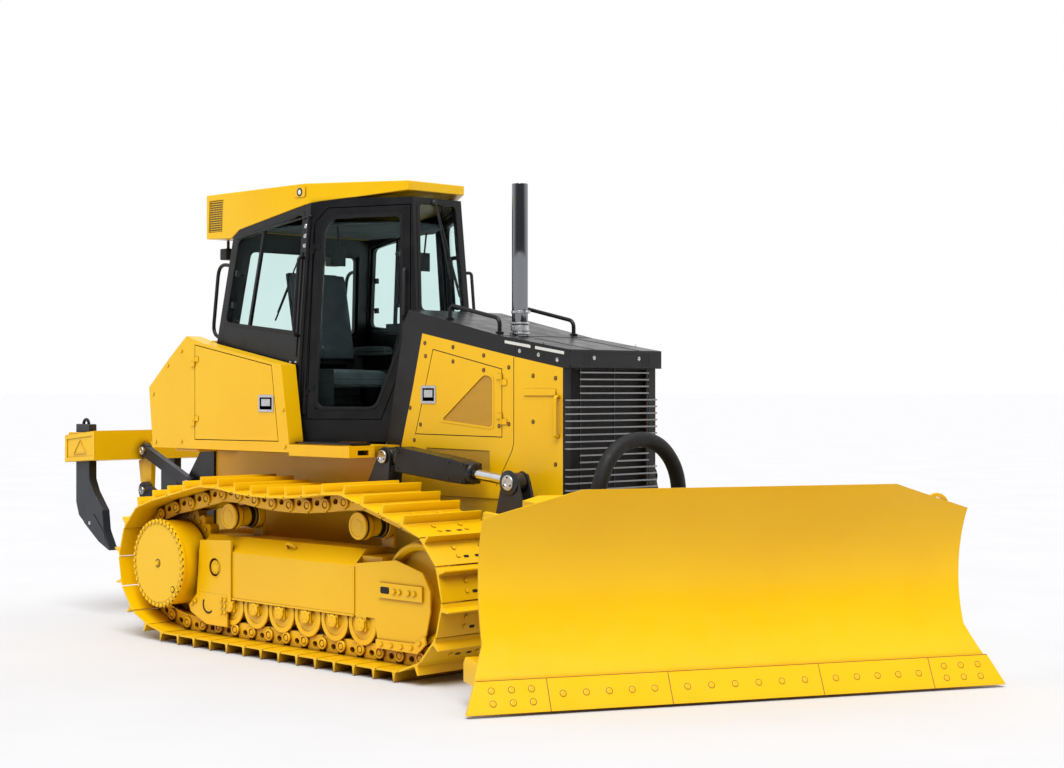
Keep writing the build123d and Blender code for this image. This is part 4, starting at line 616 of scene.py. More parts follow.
def tangent_point(start, centre, radius, turn):
    """Where a straight run from a place meets a circle."""
    dx, dz = centre[0] - start[0], centre[1] - start[1]
    dist = math.hypot(dx, dz)
    heading = math.atan2(dz, dx) + turn * math.asin(radius / dist)
    run = math.sqrt(dist ** 2 - radius ** 2)
    return start[0] + run * math.cos(heading), start[1] + run * math.sin(heading)


def arc_places(centre, radius, first, last, steps=160):
    """Places round a circle from one to another, counter-clockwise."""
    a, b = [math.atan2(p[1] - centre[1], p[0] - centre[0]) for p in (first, last)]
    b += 2 * math.pi if b <= a else 0
    return [(centre[0] + radius * math.cos(a + (b - a) * k / steps),
             centre[1] + radius * math.sin(a + (b - a) * k / steps)) for k in range(steps + 1)]


def chain_pins():
    """The chain's pins (x, z), evenly spaced along the loop from the rear of the ground run."""
    idler_off = tangent_point(CARRIER_PINS[1], IDLER, IDLER_PITCH_R, 1)
    sprocket_on = tangent_point(CARRIER_PINS[0], SPROCKET, SPROCKET_R, -1)
    sprocket_off = tangent_point(GROUND_REAR, SPROCKET, SPROCKET_R, 1)
    (x1, z1), (x0, z0) = CARRIER_PINS[1], CARRIER_PINS[0]
    sag = [(x1 + (x0 - x1) * t, z1 + (z0 - z1) * t - 4 * CHAIN_SAG * t * (1 - t))
           for t in [k / 60 for k in range(61)]]
    line = [GROUND_REAR, *arc_places(IDLER, IDLER_PITCH_R, (IDLER[0], PIN_Z), idler_off), *sag,
            *arc_places(SPROCKET, SPROCKET_R, sprocket_on, sprocket_off), GROUND_REAR]
    runs = [math.dist(a, b) for a, b in zip(line, line[1:])]
    pitch, pins, along, k = sum(runs) / SHOE_COUNT, [], 0.0, 0
    for i in range(SHOE_COUNT):
        while along + runs[k] < i * pitch - 1e-9:
            along += runs[k]
            k += 1
        share = (i * pitch - along) / runs[k]
        pins.append((line[k][0] + (line[k + 1][0] - line[k][0]) * share,
                     line[k][1] + (line[k + 1][1] - line[k][1]) * share))
    return pins, pitch


PINS, PITCH = chain_pins()
OUTWARD = Matrix.Rotation(-math.pi / 2, 4, "X")     # turns local z onto local y
half = PITCH / 2 - 0.003
plate_in, plate_out = LINK_HALF, LINK_HALF + SHOE_PLATE
tip = plate_out + GROUSER
lug = 0.020 - half
SHOE_LIP = 0.013, 0.012                     # how far a plate runs under its neighbours, at its rear and front
SHOE = ((-half - SHOE_LIP[0], plate_in - 0.004), (-half + 0.010, plate_in), (half - 0.006, plate_in),
        (half + SHOE_LIP[1], plate_in + 0.003), (half + SHOE_LIP[1], plate_out - 0.003), (half - 0.004, plate_out),
        (lug + 0.020, plate_out), (lug + 0.012, plate_out + 0.006),
        (lug + 0.0065, tip - 0.004), (lug + 0.004, tip), (lug - 0.004, tip), (lug - 0.0065, tip - 0.004),
        (lug - 0.011, plate_out + 0.006), (-half - SHOE_LIP[0], plate_out - 0.008))
link = PITCH / 2 - 0.004
LINK = ((-link, -0.050), (link, -0.050), (link, 0.014), (0.066, 0.030), (0.066, 0.0495), (-0.052, 0.0495),
        (-0.052, 0.032), (-link, 0.014))
for out, name in SIDES.items():
    track = "track_" + name
    shoes = shelf(track + "_shoes", "chassis", "yellow", 0.0015, (track,))
    chain = shelf(track + "_chain", "chassis", "yellow", 0.002)
    heads = bolts_of("chassis", "yellow")
    # dark: plates of painted shade that stand in for the openings in the shoes
    dark = shelf(track + "_openings", "chassis", "iron")
    for i, (x, z) in enumerate(PINS):
        x1, z1 = PINS[(i + 1) % SHOE_COUNT]
        turn = math.atan2(z1 - z, x1 - x)
        m = Matrix(((-math.cos(turn), math.sin(turn), 0), (0, 0, out), (-math.sin(turn), -math.cos(turn), 0)))
        m = m.to_4x4()
        m.translation = at((x + x1) / 2, out * TRACK_Y, (z + z1) / 2)
        prism(shoes, m, SHOE, -SHOE_HALF, SHOE_HALF)
        for y in (-0.105, 0.105):
            for bx in (-0.012, 0.046):
                bolt(heads, m @ shift(bx, plate_out, y) @ OUTWARD, 0.0135, washer=False)
            prism(dark, m @ shift(0.052, plate_out, y * 0.42) @ OUTWARD,
                  fillet(rect(0.009, 0.020), 0.008, 3), -0.002, 0.0008)
        for rail in (-RAIL_SPREAD, RAIL_SPREAD):
            prism(chain, m, LINK, rail - RAIL_T / 2, rail + RAIL_T / 2, (circle(-0.004, 0.012, 0.023, 16, 0.8),))
        pin_at = side(out, TRACK_Y) @ shift(x, z)
        lathe(chain, pin_at, ((0.040, -0.126), (0.040, 0.121), (0.036, 0.127), (0.026, 0.127), (0.024, 0.119),
                              (0.019, 0.119), (0.018, 0.125), (0.0, 0.125)), 20)

# ---------------------------------------------------------------- wheels
ROLLER_X = [0.310 + 0.267 * i for i in range(7)]
ROLLER_Z = 0.2783
CARRIERS = ((0.530, 0.858), (1.853, 0.865))
ROLLER = ((0.030, -0.1347), (0.104, -0.1347), (0.108, -0.130), (0.108, -0.060), (0.098, -0.054), (0.062, -0.048),
          (0.062, 0.048), (0.098, 0.054), (0.108, 0.060), (0.108, 0.113), (0.127, 0.116), (0.130, 0.119),
          (0.130, 0.1275), (0.127, 0.1297), (0.098, 0.1297), (0.094, 0.122), (0.060, 0.122), (0.055, 0.1297),
          (0.030, 0.1297))
IDLER_RIM = ((0.045, -0.105), (0.285, -0.105), (0.300, -0.100), (0.300, -0.046), (0.318, -0.038), (0.318, 0.038),
             (0.300, 0.046), (0.300, 0.100), (0.292, 0.105), (0.278, 0.105), (0.258, 0.088), (0.252, 0.046),
             (0.130, 0.040), (0.098, 0.056), (0.090, 0.112), (0.045, 0.112))
CARRIER = ((0.034, -0.120), (0.074, -0.120), (0.088, -0.108), (0.088, -0.070), (0.070, -0.060), (0.070, 0.052),
           (0.086, 0.060), (0.088, 0.068), (0.088, 0.092), (0.078, 0.094), (0.078, 0.102), (0.084, 0.104),
           (0.084, 0.116), (0.080, 0.120), (0.066, 0.120), (0.064, 0.1165), (0.040, 0.1165), (0.037, 0.119), (0.0,
                                                                                                              0.119))
DRUM = ((0.150, 0.034), (0.250, 0.034), (0.285, 0.060), (0.285, 0.235), (0.299, 0.247), (0.299, 0.262),
        (0.292, 0.267), (0.0, 0.267))
for out, name in SIDES.items():
    wheels = shelf("wheels_" + name, "chassis", "yellow", 0.0, ("rollers",) if out == LEFT else ())
    seals = shelf("wheel_seals_" + name, "chassis", "gasket")
    heads = bolts_of("chassis", "yellow")
    hub = side(out, TRACK_Y)
    for x in ROLLER_X:
        lathe(wheels, hub @ shift(x, ROLLER_Z), ROLLER, 40)
        lathe(wheels, hub @ shift(x, ROLLER_Z - 0.004, 0.137),
              ((0.041, 0), (0.041, 0.012), (0.036, 0.016), (0, 0.016)), 20)
        for dx, dz in ring(3, 0.024, math.pi / 2):
            button(heads, hub @ shift(x + dx, ROLLER_Z - 0.004 + dz, 0.153), 0.006)
    lathe(wheels, hub @ shift(*IDLER), IDLER_RIM, 64)
    for x, z in CARRIERS:
        lathe(wheels, hub @ shift(x, z), CARRIER, 36)
        for y, r in ((0.098, 0.083), (0.056, 0.076), (-0.064, 0.078)):
            torus(seals, hub @ shift(x, z, y), r, 0.006, 32, 6)
        lathe(seals, hub @ shift(x, z, -0.050), ((0.071, 0), (0.074, 0.004), (0.074, 0.030), (0.071, 0.034)), 32)
    drive = shelf("final_drive_" + name, "chassis", "yellow", 0.0, ("final_drives",) if out == LEFT else ())
    teeth = []
    for i in range(25):
        for share, radius in ((-0.13, 0.373), (0.13, 0.373), (0.26, 0.361), (0.38, 0.347), (0.5, 0.343), (0.62, 0.347),
                              (0.74, 0.361)):
            t = (i + share) * 2 * math.pi / 25
            teeth.append((SPROCKET[0] + radius * math.cos(t), SPROCKET[1] + radius * math.sin(t)))
    prism(drive, hub, teeth, -0.034, 0.034)
    lathe(drive, hub @ shift(*SPROCKET), DRUM, 72)
    lathe(drive, hub @ shift(SPROCKET[0], SPROCKET[1], -0.535), ((0.2, 0), (0.2, 0.505)), 48)
    for k in range(40):
        t = 2 * math.pi * k / 40
        spot = hub @ shift(SPROCKET[0] + 0.281 * math.cos(t), SPROCKET[1] + 0.281 * math.sin(t), 0.2665)
        lathe(heads, spot, ((0.0135, 0), (0.0135, 0.006), (0.010, 0.008), (0, 0.008)), 12)
        lathe(seals, spot @ shift(z=-0.001) @ Matrix.Rotation(t, 4, "Z") @ shift(0.016), ((0.006, 0), (0.006, 0.003)),
              8)
    torus(drive, hub @ shift(SPROCKET[0], SPROCKET[1], 0.2672), 0.262, 0.002, 72, 6)
    for dx, dz in ring(24, 0.318):
        bolt(heads, hub @ shift(SPROCKET[0] + dx, SPROCKET[1] + dz, 0.034), 0.012)
    bolt(heads, hub @ shift(SPROCKET[0], SPROCKET[1], 0.267), 0.016)
    torus(seals, hub @ shift(SPROCKET[0], SPROCKET[1], 0.267), 0.027, 0.0025, 24, 6)
    button(heads, hub @ shift(SPROCKET[0] + 0.175, SPROCKET[1] - 0.165, 0.267), 0.017)
    torus(seals, hub @ shift(SPROCKET[0] + 0.175, SPROCKET[1] - 0.165, 0.267), 0.021, 0.0025, 20, 6)

# ---------------------------------------------------------------- track frames
BEAM_OUT = 1.080
for out, name in SIDES.items():
    face = side(out, BEAM_OUT)
    plates = shelf("track_frame_plates_" + name, "chassis", "yellow", 0.002)
    heads = bolts_of("chassis", "yellow")
    # dark: discs, an arc and a slot of painted shade that stand in for openings and gaps in the frame's face
    dark = shelf("track_frame_openings_" + name, "chassis", "iron")
    port = face @ shift(0.422, 0.518)
    lathe(dark, port @ shift(z=-0.004), ((0.061, 0), (0.061, 0.003)), 32)
    torus(plates, port @ shift(z=0.012), 0.064, 0.004, 32, 8)
    lathe(plates, port @ shift(z=-0.003), ((0.047, 0), (0.047, 0.010), (0.043, 0.013), (0.0, 0.013)), 32)
    for dx, dz in ring(8, 0.034):
        button(heads, port @ shift(dx, dz, 0.010), 0.0075)
    for x, z in ((0.505, 0.312), (0.543, 0.312), (0.505, 0.270), (0.543, 0.270), (0.505, 0.228), (0.543, 0.228),
                 (0.175, 0.262), (0.210, 0.280)):
        bolt(heads, face @ shift(x, z, 0.014), 0.0125)
    torus(dark, face @ shift(0.352, 0.268, 0.0142) @ Matrix.Rotation(2.6, 4, "Z"), 0.055, 0.006, 24, 6, 2.9)
    prism(plates, face, ((0.225, 0.318), (1.850, 0.318), (1.850, 0.330), (0.225, 0.330)), -0.012, 0.006)
    for x in ROLLER_X:
        for dx in (-0.036, 0.036):
            bolt(heads, face @ shift(x + dx, 0.302), 0.010)
    block(plates, face, (1.842, 1.856), (0.334, 0.622), (-0.004, 0.007))
    prism(dark, face @ shift(2.150, 0.502, 0.014), fillet(rect(0.040, 0.020), 0.012, 3), -0.001, 0.0012)
    for x in (2.235, 2.285, 2.365, 2.415):
        bolt(heads, face @ shift(x, 0.500, 0.014), 0.015)
    for x, z in ((2.120, 0.180), (2.210, 0.180), (2.300, 0.180), (2.390, 0.184), (2.462, 0.216)):
        bolt(heads, face @ shift(x, z, 0.014), 0.0125)
    torus(plates, sided(out, axes(at(1.165, BEAM_OUT - 0.058, 0.686), (1, 0, 0), (0, 0.7, 0.72))), 0.042, 0.008, 20, 8,
          math.pi)
    for x, z in CARRIERS:
        for dx in (-0.038, 0.038):
            bolt(heads, side(out, 0.817) @ shift(x + dx, z - 0.005), 0.011)

# ---------------------------------------------------------------- hood, its doors and the nose
HOOD_HALF = 0.412
DOOR_VENT = ((1.892, 1.498), (2.365, 1.457), (2.365, 1.769), (2.288, 1.789))
LOWER_VENT = ((1.740, 1.160), (2.340, 1.160), (2.337, 1.318), (1.759, 1.324))
HOOD_DOOR = ((1.655, 1.412), (2.442, 1.406), (2.441, 1.815), (1.820, 1.943))


def ringed_screw(place, body, key="worn", size=0.009):
    """A small screw on a thin dark ring of painted shade, which stands in for its recess."""
    lathe(bolts_of(body, "gasket"), place, ((size * 1.5, 0), (size * 1.5, 0.0012)), 16)
    button(bolts_of(body, key), place @ shift(z=0.0008), size, 0.35)


def latch(label, place, body, wide, high):
    """A paddle latch in its plate: a frame, a recess and one wide paddle."""
    metal, dark = shelf(label, body, "silver", 0.0015), shelf(label + "_recess", body, "gasket")
    outline = fillet(rect(wide, high), 0.012, 3)
    prism(metal, place, outline, 0, 0.004, (fillet(grow(outline, -0.016), 0.006, 2),))
    prism(dark, place, grow(outline, -0.012), 0, 0.001)
    block(metal, place, (-wide * 0.58, wide * 0.58), (-high * 0.30, high * 0.52), (0.0005, 0.0045))


for out, name in SIDES.items():
    face = side(out, HOOD_HALF)
    door = "hood_door_" + name
    mesh = shelf(door + "_vent", door, "mesh")
    prism(mesh, face, fillet(grow(DOOR_VENT, -0.001), 0.03), -0.007, -0.0045)
    frame_of_vent = shelf(door + "_vent_rim", door, "yellow", 0.001)
    prism(frame_of_vent, face, fillet(grow(DOOR_VENT, 0.010), 0.035), -0.006, 0.0022,
          (fillet(grow(DOOR_VENT, -0.004), 0.03),))
    latch(door + "_latch", face @ shift(1.777, 1.660), door, 0.070, 0.057)
    for x, z in ((1.748, 1.905), (2.005, 1.868), (2.284, 1.812), (2.420, 1.470), (1.700, 1.470)):
        ringed_screw(face @ shift(x, z), door)
    lower = shelf("lower_vent_" + name, "chassis", "mesh")
    prism(lower, face, grow(LOWER_VENT, -0.001), -0.007, -0.0045)
    seam = shelf("hood_seams_" + name, "chassis", "gasket")
    prism(seam, face, fillet(grow(HOOD_DOOR, 0.0055), 0.03), -0.012, -0.004,
          (fillet(grow(HOOD_DOOR, 0.0005), 0.028),))
    for x, z in ((1.600, 1.575), (1.742, 1.988), (2.005, 1.958), (2.284, 1.902), (2.505, 1.827), (2.505, 1.483),
                 (2.713, 1.775), (2.713, 1.500), (2.900, 1.760), (2.900, 1.250), (2.505, 1.180), (1.640, 1.370)):
        ringed_screw(face @ shift(x, z), "chassis")
    trim = shelf("hood_side_trim_" + name, "chassis", "yellow", 0.004)
    block(trim, face, (2.640, 2.905), (1.655, 1.695), (-0.002, 0.008))
    pipe(trim, placed(face, (2.925, 1.415, 0), (2.925, 1.415, 0.030), (2.925, 1.650, 0.030), (2.925, 1.650, 0)),
         0.010, 0.02)
    # pale strips along the top edge of the hood's side
    strips = shelf("pale_edge_strips_" + name, "chassis", "pale", 0.001)
    for x0, x1 in ((2.470, 2.690), (2.730, 2.970)):
        z0, z1 = [1.995 - (x - 2.451) * 0.150 for x in (x0, x1)]
        prism(strips, face, ((x0, z0 - 0.018), (x1, z1 - 0.018), (x1, z1), (x0, z0)), -0.001, 0.0018)
    for x, z in ((2.600, 1.925), (2.760, 1.900), (2.915, 1.868)):
        button(bolts_of("chassis", "silver"), face @ shift(x, z), 0.013)
    pipe(seam, [face @ Vector((x, z, 0.0)) for x, z in ((2.548, 1.886), (2.548, 1.345), (2.395, 1.105))], 0.0022,
         0.05, 6)
    for x in (2.560, 2.800):                # seams of the dark top
        pipe(seam, [face @ Vector((x, z, 0.0)) for z in (1.885, 1.975)], 0.0016, 0, 6)

HOOD_TOP = ((1.761, 2.166), (2.432, 2.021), (3.012, 1.929))
seam = shelf("hood_top_seams", "chassis", "gasket")
for y in (-0.20, 0.20):
    pipe(seam, [at(x, y, z + 0.0002) for x, z in HOOD_TOP[1:]], 0.0022, 0, 6)
pipe(seam, [at(HOOD_TOP[1][0], y, HOOD_TOP[1][1]) for y in (-0.40, 0.40)], 0.0026, 0, 6)
nose = shelf("nose_cap", "chassis", "charcoal", 0.004)
prism(nose, ahead(2.960), ((-0.4125, 1.030), (0.4125, 1.030), (0.4125, 1.820), (-0.4125, 1.820)), -0.001, 0.003,
      (((-0.345, 1.060), (0.345, 1.060), (0.345, 1.812), (-0.345, 1.812)),))
block(nose, ahead(3.012), (-0.402, 0.402), (1.824, 1.836), (-0.002, 0.004))
block(nose, ahead(3.012), (-0.402, 0.402), (1.912, 1.924), (-0.004, 0.003))
# dark slots of painted shade stand in for the grooves in the nose
slots = shelf("nose_slots", "chassis", "gasket")
for out in (LEFT, RIGHT):
    for i in range(4):
        prism(slots, ahead(3.012) @ shift(out * (0.230 + 0.022 * i), 1.8725),
              fillet(rect(0.0055, 0.033), 0.005, 3), -0.010, 0.0008)
    button(bolts_of("chassis", "silver"), ahead(3.012) @ shift(out * 0.200, 1.880), 0.013)

GRILLE_BACK, GRILLE_FRONT, GRILLE_BAR = 2.9603, 3.004, 0.009
GRILLE_HALF, GRILLE_NARROW, GRILLE_LOW, GRILLE_PITCH = 0.398, 0.305, 1.092, 0.041
# the grille's bars take the grey of painted highlight
bars = shelf("grille_bars", "chassis", "painted_highlight_grey", 0.0012, ("grille",))
for row in range(18):
    z = GRILLE_LOW + GRILLE_PITCH * row
    if row in (4, 5, 14, 15, 16, 17):
        block(bars, level(z), (GRILLE_FRONT - GRILLE_BAR, GRILLE_FRONT), (-GRILLE_NARROW, GRILLE_NARROW),
              (0, GRILLE_BAR))
        continue
    outer = [(GRILLE_BACK, -GRILLE_HALF), *fillet(((GRILLE_FRONT, -GRILLE_HALF), (GRILLE_FRONT, GRILLE_HALF),
                                                   (0, GRILLE_HALF), (0, -GRILLE_HALF)), 0.03, 5)[:12],
             (GRILLE_BACK, GRILLE_HALF)]
    inner = [(min(x, GRILLE_FRONT - GRILLE_BAR), y * (1 - GRILLE_BAR / GRILLE_HALF)) for x, y in reversed(outer)]
    prism(bars, level(z), [*outer, *inner], 0, GRILLE_BAR)
uprights = shelf("grille_uprights", "chassis", "charcoal", 0.001)
for y in (-0.297, 0.0, 0.297):
    block(uprights, level(0), (GRILLE_FRONT - 2 * GRILLE_BAR, GRILLE_FRONT - GRILLE_BAR), (y - 0.006, y + 0.006),
          (GRILLE_LOW - 0.006, 1.820))
core = shelf("radiator_fins", "chassis", "iron")
for k in range(46):
    y = -0.340 + k * 0.0151
    block(core, level(0), (2.880, 2.886), (y - 0.002, y + 0.002), (1.050, 1.790))
block(core, level(0), (2.905, 2.909), (-0.372, 0.372), (1.035, 1.812))

# ---------------------------------------------------------------- exhaust stack
STACK = (2.386, -0.200)
# the stack pipe wears chrome darkened as painted reflection
stack = shelf("stack_pipe", "chassis", "chrome_painted_dark", 0.0, ("exhaust_stack",))
lathe(stack, upright(*STACK, 0), (
    (0.045, 2.015), (0.045, 2.100), (0.050, 2.110), (0.050, 2.960), (0.0485, 2.965), (0.0465, 2.965), (0.046, 2.960),
    (0.046, 2.700), (0.0, 2.700)), 48)
collar = shelf("stack_collar", "chassis", "silver", 0.001)
for z, r, high in ((2.030, 0.062, 0.020), (2.052, 0.056, 0.040), (2.094, 0.060, 0.016), (2.160, 0.0535, 0.022)):
    lathe(collar, upright(*STACK, z), ((r - 0.008, 0), (r, 0.003), (r, high - 0.003), (r - 0.008, high)), 40)
block(collar, upright(*STACK, 2.160), (0.050, 0.082), (-0.010, 0.010), (0.002, 0.020))
for y in (-1, 1):
    bolt(bolts_of("chassis", "silver"), upright(STACK[0] + 0.068, STACK[1] + y * 0.010, 2.171)
         @ Matrix.Rotation(-y * math.pi / 2, 4, "X"), 0.007)

# ---------------------------------------------------------------- rails on the hood and at the cab's rear
rails = shelf("handrails", "chassis", "charcoal", 0.0, ("rails",))
RAIL_R, RAIL_ENDS = 0.013, (1.890, 2.340)


def hood_top(x):
    """Height of the hood's top over the engine."""
    (x0, z0), (x1, z1) = HOOD_TOP[:2]
    return z0 + (x - x0) * (z1 - z0) / (x1 - x0)


for y in (-0.33, 0.33):
    ends = ((RAIL_ENDS[0], 0.002), (RAIL_ENDS[0], 0.090), (RAIL_ENDS[1], 0.090), (RAIL_ENDS[1], 0.002))
    pipe(rails, [at(x, y, hood_top(x) + up) for x, up in ends], RAIL_R, 0.05, 14)
    for x in RAIL_ENDS:
        lathe(rails, upright(x, y, hood_top(x) - 0.002), ((0.026, 0), (0.026, 0.009), (0.016, 0.013)), 20)

# ---------------------------------------------------------------- cab walls
CAB_FLOOR_Z, CAB_TOP_Z = 1.350, 2.960
CAB_FLOOR = ((-0.240, 0.732), (0.820, 0.732), (1.530, 0.262))
CAB_TOP = ((0.0, 0.600), (0.820, 0.600), (1.400, 0.21606))


def corner(i, z, out=LEFT):
    """A point on the cab's outer corner i (0 rear, 1 side, 2 front) at a height."""
    share = (z - CAB_FLOOR_Z) / (CAB_TOP_Z - CAB_FLOOR_Z)
    (x0, y0), (x1, y1) = CAB_FLOOR[i], CAB_TOP[i]
    return at(x0 + (x1 - x0) * share, out * (y0 + (y1 - y0) * share), z)


def facet(first, second, above):
    """One cab wall's frame: local x to the second corner, local y up the wall, local z outward."""
    return axes(first, second - first, above - first)


side_wall = facet(corner(1, CAB_FLOOR_Z), corner(0, CAB_FLOOR_Z), corner(1, CAB_TOP_Z))
door_wall = facet(corner(2, CAB_FLOOR_Z), corner(1, CAB_FLOOR_Z), corner(2, CAB_TOP_Z))
front_wall = facet(corner(2, CAB_FLOOR_Z, RIGHT), corner(2, CAB_FLOOR_Z), corner(2, CAB_TOP_Z, RIGHT))
rear_wall = facet(corner(0, CAB_FLOOR_Z), corner(0, CAB_FLOOR_Z, RIGHT), corner(0, CAB_TOP_Z))
WALL_H = 1.610
SIDE_RUN, DOOR_RUN = 1.060, math.hypot(0.710, 0.470)
SIDE_WINDOW = ((0.062, 0.715), (SIDE_RUN - 0.175, 0.800), (SIDE_RUN - 0.268, WALL_H - 0.215), (0.062, WALL_H - 0.075))
FRONT_WINDOW = ((0.055, 0.850), (0.469, 0.850), (0.436, WALL_H - 0.020), (0.088, WALL_H - 0.020))
REAR_WINDOW = ((0.190, 0.750), (1.274, 0.750), (1.219, WALL_H - 0.270), (0.245, WALL_H - 0.270))
DOOR_EDGE = ((DOOR_RUN - 0.075, 0.150), (0.270, 0.150), (0.085, 0.640), (0.098, WALL_H - 0.050),
             (DOOR_RUN - 0.190, WALL_H - 0.065), (DOOR_RUN - 0.105, WALL_H - 0.160))
DOOR_GLASS = ((DOOR_RUN - 0.130, 0.215), (0.305, 0.215), (0.140, 0.655), (0.150, WALL_H - 0.110),
              (DOOR_RUN - 0.225, WALL_H - 0.120), (DOOR_RUN - 0.160, WALL_H - 0.195))


def gasket(label, body, m, outline, wide=0.016, round_by=0.05):
    """A rubber frame pressed into a window's edge."""
    prism(shelf(label, body, "gasket", 0.0015), m, fillet(grow(outline, wide * 0.55), round_by), -0.030, 0.0035,
          (fillet(grow(outline, -wide), round_by * 0.8),))


gasket("front_window_gasket", "chassis", front_wall, FRONT_WINDOW)
gasket("rear_window_gasket", "chassis", rear_wall, REAR_WINDOW)
for out, name in SIDES.items():
    door = "cab_door_" + name
    wall, opening = sided(out, side_wall), sided(out, door_wall)
    gasket("side_window_gasket_" + name, "chassis", wall, SIDE_WINDOW)
    gasket(door + "_glass_gasket", door, opening, DOOR_GLASS, 0.014, 0.06)
    prism(shelf("door_seal_" + name, "chassis", "gasket"), opening, fillet(grow(DOOR_EDGE, 0.005), 0.03), -0.045,
          -0.030,
          (fillet(grow(DOOR_EDGE, -0.012), 0.03),))
    handle = shelf(door + "_handle", door, "plastic", 0.003)
    pipe(handle, placed(opening, (0.118, 0.820, 0.0), (0.118, 0.820, 0.045), (0.122, 1.130, 0.045),
                        (0.122, 1.130, 0.0)), 0.011, 0.03)
    block(handle, opening @ shift(0.116, 0.740), (-0.020, 0.020), (-0.055, 0.055), (-0.002, 0.010))
    lathe(bolts_of(door, "silver"), opening @ shift(0.116, 0.720, 0.010),
          ((0.010, 0), (0.010, 0.003), (0.004, 0.004)), 14)
    latches = shelf("window_latches_" + name, "chassis", "plastic", 0.002)
    for u, v in ((0.785, 1.150), (0.805, 0.930)):
        block(latches, wall @ shift(u, v), (-0.012, 0.012), (-0.020, 0.020), (-0.024, 0.004))
    # the roll-over post's bolted joints, above and below the windows
    post = shelf("post_plates_" + name, "chassis", "charcoal", 0.003)
    for face_of, us, vs in ((wall, (0.004, 0.058), (1.255, 1.475)), (wall, (0.010, 0.130), (0.300, 0.560))):
        block(post, face_of, us, vs, (-0.002, 0.009))
    for v in (1.300, 1.365, 1.430):
        button(bolts_of("chassis", "silver"), wall @ shift(0.030, v, 0.009), 0.013)
        button(bolts_of("chassis", "silver"), opening @ shift(DOOR_RUN - 0.042, v, 0.0), 0.013)
    for v in (0.340, 0.400, 0.460, 0.520):
        button(bolts_of("chassis", "silver"), wall @ shift(0.040, v, 0.009), 0.012)
        button(bolts_of("chassis", "silver"), wall @ shift(0.100, v, 0.009), 0.012)
    pipe(post, [wall @ Vector((0.030, v, d)) for v, d in ((0.700, 0), (0.700, 0.050), (1.220, 0.050), (1.220, 0))],
         0.011,
         0.04)
    for u, r in ((0.004, 0.016), (0.052, 0.007)):   # the post's rounded edge and its hose
        pipe(post, [wall @ Vector((u, v, 0.0)) for v in (0.180, 1.500)], r, 0, 12)
    pipe(post, [opening @ Vector((DOOR_RUN - 0.045 - v * 0.030, v, 0.0)) for v in (0.180, 1.400)], 0.012, 0, 12)
    grab = placed(sided(out, rear_wall), (0.150, 1.215, 0.0), (0.150, 1.215, 0.190), (0.150, 0.700, 0.190),
                  (0.150, 0.700, 0.0))
    pipe(rails, grab, RAIL_R, 0.09, 14)
    pipe(latches, placed(wall, (-0.02, 1.500, 0.004), (0.80, 1.392, 0.004)), 0.006, 0, 8)

# wipers on the front and rear windows
wipers = shelf("wipers", "chassis", "plastic", 0.001)
for m, foot, tips in ((front_wall, (0.230, 1.585), ((0.400, 1.020), (0.330, 1.080))),
                      (rear_wall, (0.732, 1.350), ((0.900, 0.900),))):
    lathe(wipers, m @ shift(foot[0], foot[1], -0.004), ((0.022, 0), (0.022, 0.016), (0.014, 0.026), (0, 0.026)), 20)
    for tip_at in tips:
        pipe(wipers, [m @ Vector((*foot, 0.016)), m @ Vector((*tip_at, 0.012))], 0.0055, 0, 8)
    tip_at = Vector(tips[0])
    along = (tip_at - Vector(foot)).normalized()
    a, b = tip_at - along * 0.30, tip_at + along * 0.06
    pipe(wipers, [m @ Vector((a.x, a.y, 0.002)), m @ Vector((b.x, b.y, 0.002))], 0.0065, 0, 8)

